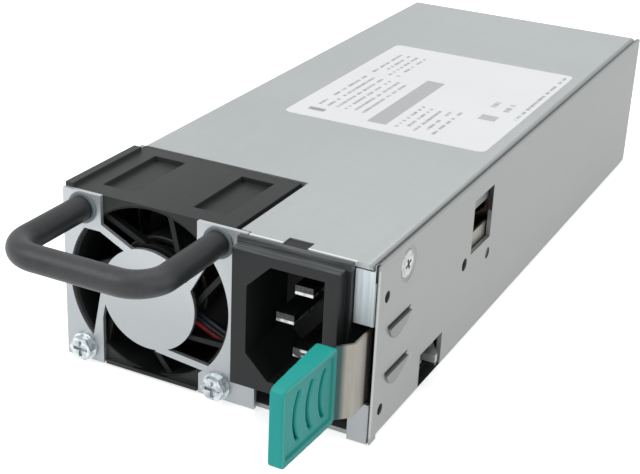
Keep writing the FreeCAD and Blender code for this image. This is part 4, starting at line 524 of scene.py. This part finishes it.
def contact_blades():
    """Nickelled contacts: tips darkened with painted shade, and painted glints in spots along one
    edge.
    """
    finish = Finish("contact_nickel")
    _, _, up = bench(finish)
    low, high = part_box("inlet_blades")
    half_blade = 1.0
    near, far = 0.35, 1.0           # a glint's stretch, from a blade's middle toward its edge
    middle = (low.z + high.z) / 2 * 1000
    outer = (high.z - low.z) / 2 * 1000 - half_blade
    bloom = finish.noise(0.0008, 3.0, 0.6)
    edge = finish.noise(0.003, 1.0, 0.5).ramp(0.35, 0.5)
    height = up - middle
    outer_tips = height.size().between(outer - far, outer - near)
    middle_tip = height.between(-far, -near)
    lowest = (height * -1).between(outer + near, outer + far)
    glint = outer_tips.most(middle_tip).most(lowest) * edge
    # Painted shade gives the tips a dark tone, and painted glints are laid over it.
    shaded_tip = finish.blend(bloom.ramp(0.3, 0.7), (0.035, 0.036, 0.036), (0.10, 0.10, 0.10))
    finish.colour(finish.blend(glint, shaded_tip, (0.85, 0.85, 0.83)))
    finish.rough(0.3 + bloom * 0.2)
    finish.metallic(0.9 - glint * 0.3)
    return finish


def moulding(name, dark, light, rough, grain=0.0004, depth=0.00002):
    """Moulded plastic: fine spark texture, soft flow clouds and rubbed patches."""
    finish = Finish(name)
    flow = finish.noise(0.02, 2.0, 0.5)
    spark = finish.noise(grain, 2.0, 0.6)
    rubs = finish.noise(0.004, 4.0, 0.7).ramp(0.60, 0.74)
    finish.tone = finish.blend((flow * 0.7 + spark * 0.3 + rubs * 0.15).ramp(0.3, 0.8), dark, light)
    finish.colour(finish.tone)
    finish.rough(rough + flow * 0.08 - rubs * 0.10)
    finish.edge_bump(spark, depth)
    return finish


def fan_moulding():
    """The fan frame's moulding: painted shade keeps its tunnel dark, and painted light makes its
    left side a little paler.
    """
    finish = moulding("grey_fan_moulding", (0.021, 0.023, 0.023), (0.033, 0.037, 0.037), 0.46)
    across, _, up = bench(finish)
    shaft_low, shaft_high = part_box("fan_shaft")
    shaft = ((shaft_low + shaft_high) / 2 - Vector((LEFT, FRONT, 0))) * 1000
    # Painted light: paler toward the left side.
    paler = finish.blend(across.ramp(4.0, 34.0), (0.046, 0.050, 0.049), finish.tone)
    # Painted shade inside the round tunnel of the fan's wheel.
    inside = distance(across, up, shaft.x, shaft.z) < FAN_TUNNEL
    finish.colour(finish.blend(inside, paler, (0.008, 0.009, 0.009)))
    finish.fixed(Specular_IOR_Level=0.28)
    return finish


def inlet_moulding():
    """The inlet's moulding: a painted highlight in streaks on its upper ledge, but for a tab in
    painted shade, and painted light in its cavity, least near its mouth and most at its floor."""
    finish = moulding("inlet_moulding", (0.0145, 0.0155, 0.016), (0.0225, 0.024, 0.025), 0.42)
    across, along, up = bench(finish)
    streaks = finish.noise(0.0007, 2.0, 0.5, stretch=(0.05, 1.0, 1.0)).ramp(0.45, 0.6)
    # A painted highlight in streaks along the upper ledge.
    ledge = (up > INLET_LEDGE) * (streaks * 0.55 + 0.4)
    lit = finish.blend(ledge, finish.tone, (0.15, 0.16, 0.165))
    # Painted shade on the tab where it shows in the cover's notch.
    tab = across.between(*INLET_TAB) * (along > -0.2) * (up > 38)
    tab_shaded = finish.blend(tab, lit, (0.004, 0.004, 0.004))
    # Painted light in the cavity, growing toward its floor.
    cavity = across.between(*INLET_CAVITY) * up.between(*INLET_CAVITY_UP) * (along > INLET_FRONT)
    cavity_light = finish.blend(along.ramp(*INLET_DEPTHS), (0.016, 0.016, 0.016), (0.05, 0.05, 0.05))
    finish.colour(finish.blend(cavity, tab_shaded, cavity_light))
    finish.fixed(Specular_IOR_Level=0.33)
    return finish


def grip_moulding():
    """The latch grip's teal: painted highlights make its rims bright, its outer face is deeper.
    That face falls inward a little toward its front."""
    finish = moulding("teal_moulding", (0.012, 0.265, 0.235), (0.018, 0.315, 0.285), 0.36)
    low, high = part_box("latch_grip")
    fall = 0.0008 / (high.y - low.y)
    face = (finish.x - high.x) + (high.y - finish.y) * fall
    top_rim_highlight = (finish.z - high.z).ramp(-0.0010, -0.0006)
    front_rim_highlight = (low.y - finish.y).ramp(-0.0010, -0.0006)
    # Painted highlights along the rims round the outer face.
    rim = face.ramp(-0.0004, -0.0008).most(top_rim_highlight).most(front_rim_highlight)
    finish.colour(finish.blend(rim * 0.8, finish.tone, (0.030, 0.47, 0.43)))
    finish.fixed(Specular_IOR_Level=0.2)
    return finish


def vinyl_sleeve():
    """Smooth vinyl with faint draw lines and dust; painted shade darkens the handle's legs, most so
    below.
    """
    finish = Finish("handle_vinyl")
    lines = finish.noise(0.0008, 3.0, 0.6, stretch=(1.0, 0.12, 1.0))
    dust = finish.noise(0.009, 4.0, 0.65)
    bloom = (dust * 0.7 + lines * 0.3).ramp(0.3, 0.75)
    plain = finish.blend(bloom, (0.038, 0.041, 0.042), (0.074, 0.078, 0.080))
    low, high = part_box("handle_sleeve")
    # Painted shade on the legs, darker toward their lower ends.
    legs = (finish.y - low.y).ramp(0.006, 0.010)
    dim = (finish.z - (low.z + high.z) / 2).ramp(0.0004, -0.0022)
    finish.colour(finish.blend(legs * (dim * 0.35 + 0.6), plain, (0.006, 0.0075, 0.0075)))
    finish.rough(0.36 + dust * 0.16)
    finish.fixed(Coat_Weight=0.05, Coat_Roughness=0.3, Specular_IOR_Level=0.32)
    finish.bump(lines * 0.7 + dust * 0.3, 0.00004, 0.5)
    return finish


def spring_strip():
    """Spring steel with a warm cast and upright streaks, and a painted reflection of the grip
    beside it. Inside the case painted shade darkens it as far as the hook, and the hook too, but
    for its tooth, which has painted light."""
    finish = Finish("spring_steel")
    _, along, up = bench(finish)
    brush = finish.noise(0.0008, 3.0, 0.6, stretch=(1.0, 1.0, 0.04))
    stain = finish.noise(0.012, 3.0, 0.6)
    grain = (brush * 0.6 + stain * 0.4).ramp(0.3, 0.7)
    warm = finish.blend(grain, (0.27, 0.255, 0.225), (0.40, 0.375, 0.335))
    _, grip_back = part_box("latch_grip")
    # A painted reflection of the grip's rear end.
    beside = (finish.y - grip_back.y).ramp(0.0017, 0.0008)
    mirrored = finish.blend(beside * 0.9, warm, (0.010, 0.06, 0.06))
    # Painted shade inside the case, from the front slot back to the hook.
    inside = along.ramp(-1.6, -0.9) * (along < HOOK_START)
    shaded = finish.blend(inside * 0.9, mirrored, (0.035, 0.028, 0.022))
    # Painted shade on the hook, and painted light on its tooth.
    hook = (along > HOOK_START) * (up < HOOK_TOP)
    tooth = hook * up.between(*HOOK_TOOTH)
    hook_shaded = finish.blend(hook * 0.92, shaded, (0.012, 0.013, 0.013))
    finish.colour(finish.blend(tooth, hook_shaded, (0.42, 0.44, 0.43)))
    finish.rough(0.34 + brush * 0.14)
    finish.metallic(0.85 - stain * 0.1)
    finish.bump(brush, 0.00002, 0.5)
    return finish


PRINT_WORDS = 0.85              # words of print to the millimetre
PRINT_LETTERS = 3.1             # letters to the millimetre

# Each row: from and to across the label, pitch of its lines, from and to along it, and a seed.
PRINT_ROWS = (
    ((4.0, 18.4), 2.4, 9.5, 37.0, 3.0),
    ((4.0, 13.6), 2.4, 41.0, 60.0, 11.0),
    ((27.0, 39.0), 2.4, 4.5, 23.5, 19.0),
    ((41.0, 49.0), 4.0, 30.0, 36.5, 29.0),
    ((49.9, 52.3), 2.4, 25.5, 66.0, 37.0),
)
# Each mark: from and to across the label, then from and to along it.
PRINT_BAR = ((4.2, 8.6), (4.6, 6.6))
PRINT_BLOCK = ((20.5, 25.5), (4.5, 42.5))
PRINT_SQUARE = ((42.6, 47.0), (21.5, 25.4))


def patch(across, along, mark):
    """1 on one of the label's rectangles."""
    return across.between(*mark[0]) * along.between(*mark[1])


def dashes(finish, across, along, rows, pitch, start, end, seed):
    """Rows of short bars that stand for plain print, in words and in letters of uneven tone."""
    lines = (across - rows[0]) / pitch
    row = lines.floor()
    word = (along * PRINT_WORDS + row * 0.37).floor()
    area = across.between(*rows) * along.between(start, end)
    letter = (along * PRINT_LETTERS + row * 0.7).floor()
    tone = finish.random(letter, row + seed + 7.0) * 0.65 + 0.35
    printed = finish.random(word, row + seed) > 0.24
    return area * (lines - row).between(0.28, 0.64) * printed * tone


def label_print():
    """White film with generic rows of bars, a dark bar, a grey block and a grey square."""
    finish = Finish("label_film")
    low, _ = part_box("rating_label")
    across = (finish.x - low.x) * 1000
    along = (finish.y - low.y) * 1000
    ink = patch(across, along, PRINT_BAR)
    for rows in PRINT_ROWS:
        ink = ink.most(dashes(finish, across, along, *rows))
    block = patch(across, along, PRINT_BLOCK)
    square = patch(across, along, PRINT_SQUARE)
    worn = finish.noise(0.0009, 3.0, 0.6)
    paper = finish.noise(0.03, 2.0, 0.5).ramp(0.3, 0.7)
    film = finish.blend(paper, (0.975, 0.975, 0.985), (1.0, 1.0, 1.0))
    # The grey block and square are print.
    shaded = finish.blend(block.most(square * 0.9) * (0.8 + worn * 0.2), film, (0.50, 0.51, 0.52))
    finish.colour(finish.blend(ink * (0.5 + worn * 0.5), shaded, (0.20, 0.21, 0.23)))
    finish.rough(0.42 + worn * 0.1 - ink * 0.05)
    finish.bump(worn * 0.3 + ink.most(block) * 0.3, 0.00001, 0.4)
    return finish


def circuit_board():
    """Green solder mask over copper tracks with tinned pads."""
    finish = Finish("circuit_board")
    across, along, _ = bench(finish)
    track_pitch, track_length, pad_pitch = 1.7, 9.0, 2.54
    lane = (across / track_pitch).floor()
    step = (along / track_length).floor()
    track = (across / track_pitch - lane).between(0.3, 0.62) * (finish.random(lane, step) > 0.35)
    column, line = (across / pad_pitch).floor(), (along / pad_pitch).floor()
    aside = across / pad_pitch - column - 0.5
    ahead = along / pad_pitch - line - 0.5
    pad = (aside * aside + ahead * ahead < 0.07) * (finish.random(line, column) > 0.72)
    weave = finish.noise(0.0006, 2.0, 0.5)
    mask = finish.blend(weave.ramp(0.3, 0.7), (0.012, 0.10, 0.045), (0.02, 0.135, 0.06))
    tracked = finish.blend(track * 0.8, mask, (0.03, 0.20, 0.085))
    finish.colour(finish.blend(pad, tracked, (0.62, 0.62, 0.60)))
    finish.metallic(pad * 0.9)
    finish.rough(0.34 + weave * 0.1)
    finish.bump(track.most(pad), 0.00005, 0.6)
    return finish


def wound_wire():
    """Enamelled copper: glossy, with darker and lighter streaks at random."""
    finish = Finish("enamelled_copper")
    turns = finish.noise(0.0009, 3.0, 0.6, stretch=(1.0, 1.0, 0.2))
    finish.colour(finish.blend(turns.ramp(0.35, 0.65), (0.36, 0.15, 0.06), (0.72, 0.36, 0.16)))
    finish.rough(0.25 + turns * 0.15)
    finish.fixed(Metallic=0.9, Coat_Weight=0.4)
    finish.bump(turns, 0.0001, 0.6)
    return finish


def insulation(name, dark, light):
    """Soft wire insulation with a faint wax bloom."""
    finish = Finish(name)
    bloom = finish.noise(0.003, 3.0, 0.6)
    finish.colour(finish.blend(bloom.ramp(0.3, 0.7), dark, light))
    finish.rough(0.34 + bloom * 0.16)
    finish.bump(finish.noise(0.0005, 2.0, 0.5), 0.00002, 0.4)
    return finish


def dress(finish, *names):
    """Gives some CAD nodes a finish."""
    for name in names:
        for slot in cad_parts[name].material_slots:
            slot.material = finish.material


# Each row: a finish's name, its two tones, what else it needs, and the CAD nodes that wear it.
PLATED = (
    ("zinc_screws", (0.80, 0.84, 0.85), (0.36, 0.40, 0.42), (),
     ("fan_screws", "cover_screws", "board_screws", "board_standoffs", "handle_screws")),
    ("bright_steel", (0.78, 0.80, 0.81), (0.58, 0.60, 0.62), (0.004,),
     ("handle_core", "fan_shaft", "fan_bearings")),
    ("rivet_steel", (0.24, 0.24, 0.23), (0.10, 0.10, 0.10), (0.001,), ("latch_rivet",)),
    ("gold_flash", (0.90, 0.70, 0.30), (0.74, 0.54, 0.20), (0.001,), ("edge_contacts",)),
    ("plain_extrusion", (0.72, 0.73, 0.74), (0.55, 0.56, 0.57), (0.006,),
     ("primary_heatsink", "secondary_heatsink", "rectifier_heatsink")),
    ("laminated_steel", (0.34, 0.35, 0.38), (0.22, 0.23, 0.25), (0.002,), ("fan_stator",)),
)
MOULDED = (
    ("collar_moulding", (0.16, 0.20, 0.21), (0.26, 0.31, 0.32), (0.35,), ("handle_collars",)),
    ("ferrite", (0.020, 0.020, 0.021), (0.045, 0.045, 0.046), (0.6, 0.0003, 0.00004),
     ("fan_magnet", "transformer_core", "output_inductor")),
    ("package_black", (0.010, 0.010, 0.011), (0.024, 0.024, 0.025), (0.55,),
     ("bridge_rectifier", "primary_transistors", "secondary_transistors", "control_chips")),
    ("yellow_film", (0.58, 0.38, 0.04), (0.80, 0.58, 0.10), (0.35,),
     ("x_capacitor", "transformer_winding")),
    ("blue_dip", (0.03, 0.09, 0.30), (0.05, 0.15, 0.42), (0.3,), ("y_capacitors",)),
    ("capacitor_sleeve", (0.012, 0.014, 0.030), (0.028, 0.030, 0.055), (0.3,),
     ("bulk_capacitor", "output_capacitors")),
    ("ceramic", (0.66, 0.64, 0.58), (0.80, 0.78, 0.72), (0.3,), ("fuse",)),
    ("terminal_green", (0.02, 0.20, 0.07), (0.04, 0.30, 0.11), (0.4,), ("terminal_block",)),
    ("natural_nylon", (0.62, 0.60, 0.54), (0.76, 0.74, 0.68), (0.45,),
     ("fan_header", "insulator_sheet")),
)
INSULATED = (
    ("red_lead", (0.50, 0.03, 0.04), (0.70, 0.06, 0.07), (), ("fan_lead_red",)),
    ("black_lead", (0.012, 0.012, 0.012), (0.03, 0.03, 0.03), (), ("fan_lead_black",)),
    ("brown_lead", (0.09, 0.035, 0.015), (0.15, 0.06, 0.03), (), ("mains_lead_live",)),
    ("navy_lead", (0.004, 0.006, 0.016), (0.007, 0.010, 0.026), (), ("fan_lead_blue",)),
    ("blue_lead", (0.02, 0.08, 0.35), (0.035, 0.13, 0.48), (), ("mains_lead_neutral",)),
    ("earth_lead", (0.03, 0.25, 0.05), (0.45, 0.50, 0.05), (), ("mains_lead_earth",)),
)


def dress_all():
    """Gives every CAD node its finish, and builds the pieces that replace three of them."""
    dress(side_sheet(), "chassis_tray")
    dress(cover_sheet(), "top_cover")
    dress(panel_sheet(), "front_panel")
    dress(label_print(), "rating_label")
    for maker, rows in ((bright_plating, PLATED), (moulding, MOULDED), (insulation, INSULATED)):
        for name, first, second, rest, nodes in rows:
            dress(maker(name, first, second, *rest), *nodes)
    dress(contact_blades(), "inlet_blades")
    dress(fan_moulding(), "fan_frame")
    dress(inlet_moulding(), "inlet_housing")
    dress(vinyl_sleeve(), "handle_sleeve")
    dress(spring_strip(), "latch_strip")
    dress(circuit_board(), "main_board", "control_board", "fan_circuit_ring")
    dress(wound_wire(), "fan_coils", "common_mode_choke", "boost_choke")
    black = moulding("black_fan_moulding", (0.014, 0.015, 0.015), (0.028, 0.030, 0.030), 0.42)
    dress(black, "fan_rotor")
    countersunk_screws(
        bright_plating("cover_screw_zinc", (0.60, 0.62, 0.61), (0.30, 0.31, 0.31), 0.0012))
    fan_wheel(black)
    teal = grip_moulding()
    dress(teal, "latch_grip")
    thumb_grip(teal)


# ---- pieces --------------------------------------------------------------------------------------

SHARP_ANGLE = math.radians(32)
HAIR = 0.0000001                # points nearer than this are one point
NODE_WELD = 0.000001            # the same for the loose triangles of a CAD node


def piece_of(name, mesh):
    """A mesh as an object at the origin, smooth but for its sharp edges."""
    mesh.shade_smooth()
    mesh.set_sharp_from_angle(angle=SHARP_ANGLE)
    return new_object(name, mesh)


def mesh_of(name, shape):
    """A built closed shape as a mesh whose faces point outwards."""
    bmesh.ops.recalc_face_normals(shape, faces=shape.faces)
    mesh = bpy.data.meshes.new(name)
    shape.to_mesh(mesh)
    shape.free()
    return mesh


def turned(name, profile, axis, steps=64):
    """A closed outline of (along, radius) points turned round an axis through the origin."""
    shape = bmesh.new()
    rings = []
    for step in range(steps):
        angle = math.tau * step / steps
        side, up = math.cos(angle), math.sin(angle)
        if axis == "X":
            spots = [(along, radius * side, radius * up) for along, radius in profile]
        else:
            spots = [(radius * side, along, radius * up) for along, radius in profile]
        rings.append([shape.verts.new(spot) for spot in spots])
    for ring, following in zip(rings, rings[1:] + rings[:1]):
        for index in range(len(profile)):
            after = (index + 1) % len(profile)
            shape.faces.new((ring[index], ring[after], following[after], following[index]))
    bmesh.ops.remove_doubles(shape, verts=shape.verts, dist=HAIR)
    bmesh.ops.dissolve_degenerate(shape, edges=shape.edges, dist=HAIR)
    return mesh_of(name, shape)


def fan_wheel(finish):
    """The fan's wheel: a cup with a rounded rear rim and curved blades of uneven thickness."""
    shaft_low, shaft_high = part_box("fan_shaft")
    low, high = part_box("fan_rotor")
    centre = (shaft_low + shaft_high) / 2
    outer, inner, hole = 0.0110, 0.0102, 0.0010
    depth = high.y - low.y
    rim, front_edge, end_wall = 0.0009, 0.0002, 0.0012
    hub = turned("wheel_cup", [
        (0.0, inner), (0.0, outer - front_edge), (front_edge, outer), (depth - rim, outer),
        (depth - rim * 0.6, outer - rim * 0.08), (depth - rim * 0.2, outer - rim * 0.4),
        (depth, outer - rim), (depth, hole), (depth - end_wall, hole), (depth - end_wall, inner),
    ], "Y")
    tree = Growth("fan_blades", Blades=5, Root=outer - 0.0003, Tip=0.0183, Margin=0.0009,
                  Depth=depth - 0.0021, Sweep=0.86, Lean=0.20, Thickness=0.0013, Camber=0.0011)
    block = tree.add("GeometryNodeMeshCube", {}, {
        "Size": (1, 1, 1), "Vertices X": 10, "Vertices Y": 2, "Vertices Z": 17})
    out, side, along = tree.placed()
    reach = out + 0.5
    chord = along + 0.5
    bulge = chord * (1 - chord) * 4
    radius = tree.given("Root") + (tree.given("Tip") - tree.given("Root")) * reach
    angle = along * tree.given("Sweep") - reach * reach * tree.given("Lean")
    back = tree.given("Margin") + chord * tree.given("Depth") + bulge * tree.given("Camber")
    thick = side * tree.given("Thickness") * (bulge * 0.7 + 0.3) * (1.25 - reach * 0.5)
    place = tree.vector(radius * angle.cosine(), back + thick, radius * angle.sine())
    blade = tree.moved(block.outputs[0], place)
    turn = tree.vector(0.0, tree.index() * math.tau / tree.given("Blades"), 0.0)
    blades = tree.repeated(blade, tree.given("Blades"), turn)
    wheel = tree.joined(tree.entry.outputs["Geometry"], blades)
    placed = tree.add("GeometryNodeTransform", {},
                      {0: wheel, "Translation": (centre.x, low.y, centre.z)})
    piece = tree.grow("fan_wheel", hub, placed.outputs[0], finish)
    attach(piece, "rotor")
    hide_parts("fan_rotor")


def countersunk_screws(finish):
    """The two screws of the cover: dished heads with a cross recess, flush in their seats."""
    low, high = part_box("cover_screws")
    head, length = 0.0030, 0.0040
    shank_top, shank_foot, shank_tip = 0.00152, 0.00145, 0.0012
    level = (low.z + high.z) / 2
    first = Vector((high.x, low.y + head, level))
    second = Vector((low.x, high.y - head, level))
    blank = turned("screw_blank", [
        (0.0, 0.0), (0.0, head * 0.78), (-0.00008, head * 0.93), (-0.00022, head),
        (-0.0010, shank_top), (-0.0038, shank_foot), (-length, shank_tip), (-length, 0.0),
    ], "X", 48)
    tree = Growth("cover_screw_heads", Screws=2, First=tuple(first), Step=tuple(second - first),
                  RecessWidth=0.0006, RecessSpan=0.0026, RecessDepth=0.0010, Twist=0.4)
    heads = tree.add("GeometryNodeMeshBoolean", {"operation": "DIFFERENCE"},
                     {0: tree.entry.outputs["Geometry"]})
    for wide, tall in (("RecessWidth", "RecessSpan"), ("RecessSpan", "RecessWidth")):
        size = tree.vector(tree.given("RecessDepth"), tree.given(wide), tree.given(tall))
        bar = tree.add("GeometryNodeMeshCube", {}, {"Size": size})
        tree.feed(heads.inputs[1], bar.outputs[0])
    index = tree.index()
    step = tree.parts(tree.entry.outputs["Step"])
    start = tree.parts(tree.entry.outputs["First"])
    place = tree.vector(*[begin + along * index for begin, along in zip(start, step)])
    turn = tree.vector(tree.given("Twist") * (index + 1), 0.0, index * math.pi)
    screws = tree.repeated(heads.outputs[0], tree.given("Screws"), turn, place)
    piece = tree.grow("cover_screw_set", blank, screws, finish)
    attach(piece, "case")
    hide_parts("cover_screws")


def rounded_slab(name, low, high, radius):
    """A slab between two corners whose outline, seen from the side, has round corners."""
    steps = 8
    shape = bmesh.new()
    outline = []
    corners = ((high.y, high.z), (low.y, high.z), (low.y, low.z), (high.y, low.z))
    for turn, (along, up) in enumerate(corners):
        centre_along = along + (radius if along == low.y else -radius)
        centre_up = up + (radius if up == low.z else -radius)
        for step in range(steps + 1):
            angle = math.pi / 2 * (turn + step / steps)
            outline.append((centre_along + radius * math.cos(angle),
                            centre_up + radius * math.sin(angle)))
    sides = [[shape.verts.new((x, along, up)) for along, up in outline] for x in (low.x, high.x)]
    shape.faces.new(sides[0])
    shape.faces.new(sides[1][::-1])
    for index in range(len(outline)):
        after = (index + 1) % len(outline)
        shape.faces.new((sides[0][index], sides[1][index], sides[1][after], sides[0][after]))
    return new_object(name, mesh_of(name, shape))


def weld(thing):
    """Joins the loose triangles of a CAD node's mesh."""
    modifier = thing.modifiers.new("weld", "WELD")
    modifier.merge_threshold = NODE_WELD


def thumb_grip(finish):
    """The latch's grip with round corners and softly rolled edges, as it comes from its mould."""
    corner_radius, voxel, passes = 0.0014, 0.00013, 26
    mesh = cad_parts["latch_grip"].data.copy()
    mesh.materials.clear()
    mesh.materials.append(finish.material)
    start = new_object("grip_start", mesh)
    weld(start)
    low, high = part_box("latch_grip")
    wider = Vector((0.001, 0, 0))
    slab = rounded_slab("grip_slab", low - wider, high + wider, corner_radius)
    corners = start.modifiers.new("corners", "BOOLEAN")
    corners.operation = "INTERSECT"
    corners.solver = "EXACT"
    corners.object = slab
    melt = start.modifiers.new("melt", "REMESH")
    melt.mode = "VOXEL"
    melt.voxel_size = voxel
    smooth = start.modifiers.new("roll", "SMOOTH")
    smooth.factor = 0.5
    smooth.iterations = passes
    rolled = finished_mesh(start)
    bpy.data.objects.remove(start)
    bpy.data.objects.remove(slab)
    piece = piece_of("thumb_grip", rolled)
    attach(piece, "latch")
    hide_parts("latch_grip")


# ---- softened edges ------------------------------------------------------------------------------

# Each row: a CAD node, how wide its edges are rounded, and in how many steps.
SOFTENED = (
    ("handle_collars", 0.0002, 2),
    ("fan_frame", 0.0002, 2),
    ("front_panel", 0.0001, 1),
    ("top_cover", 0.0001, 1),
    ("chassis_tray", 0.0001, 1),
)


def soften(name, width, segments):
    """Rounds the sharp edges of a CAD node."""
    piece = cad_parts[name]
    weld(piece)
    flat = piece.modifiers.new("flatten", "DECIMATE")
    flat.decimate_type = "DISSOLVE"
    flat.angle_limit = math.radians(0.5)
    bevel = piece.modifiers.new("round", "BEVEL")
    bevel.width = width
    bevel.segments = segments
    bevel.limit_method = "ANGLE"
    bevel.angle_limit = math.radians(35)
    bevel.harden_normals = True
    bevel.use_clamp_overlap = True


# ---- stage ---------------------------------------------------------------------------------------

class Surroundings(Tree):
    """The world's node tree."""

    def __init__(self, name):
        world = bpy.data.worlds.new(name)
        scene.world = world
        world.use_nodes = True
        self.tree = world.node_tree


def add_surroundings():
    """White where the camera sees past the part, bright in reflections, dim as fill light."""
    fill, reflected, white = (0.29, 0.295, 0.30), (0.85, 0.86, 0.87), (1, 1, 1)
    world = Surroundings("surroundings")
    rays = world.add("ShaderNodeLightPath").outputs
    seen = Value(world, rays["Is Camera Ray"]).most(rays["Is Transmission Ray"])
    plain = world.blend(seen, fill, white)
    colour = world.blend(rays["Is Glossy Ray"], plain, reflected)
    world.feed(world.tree.nodes["Background"].inputs["Color"], colour)


def add_floor():
    """A pale floor a hair under the part, which keeps its shadow."""
    finish = Finish("pale_floor")
    rays = finish.add("ShaderNodeLightPath").outputs
    seen = Value(finish, rays["Is Camera Ray"]).most(rays["Is Glossy Ray"])
    finish.colour((0.86, 0.86, 0.86, 1.0))
    finish.fixed(Roughness=1.0, Emission_Strength=0.66)
    finish.feed(finish.shader.inputs["Emission Color"], finish.blend(seen, (0, 0, 0), (1, 1, 1)))
    half, gap = 3.0, 0.0005
    corners = [(-half, -half, 0), (half, -half, 0), (half, half, 0), (-half, half, 0)]
    mesh = bpy.data.meshes.new("floor")
    mesh.from_pydata(corners, [], [(0, 1, 2, 3)])
    mesh.materials.append(finish.material)
    floor = new_object("floor", mesh)
    floor.location.z = cad_low.z - gap


def add_lamps():
    """Three soft lamps: from the left front, from above and from the right."""
    for name, place, aim, width, power in (
        ("key_lamp", (-0.55, -0.75, 0.85), (0, -0.05, 0.02), 0.7, 5.6),
        ("top_lamp", (0.05, 0.15, 1.1), (0, 0, 0), 0.9, 3.6),
        ("side_lamp", (1.0, -0.25, 0.45), (0, 0, 0.02), 0.7, 2.2),
    ):
        data = bpy.data.lights.new(name, "AREA")
        data.size = width
        data.energy = power
        lamp = new_object(name, data)
        lamp.location = place
        lamp.rotation_mode = "QUATERNION"
        lamp.rotation_quaternion = (Vector(aim) - Vector(place)).to_track_quat("-Z", "Y")


add_camera()
add_surroundings()
add_floor()
add_lamps()
dress_all()
for row in SOFTENED:
    soften(*row)

scene.view_settings.view_transform = "Standard"
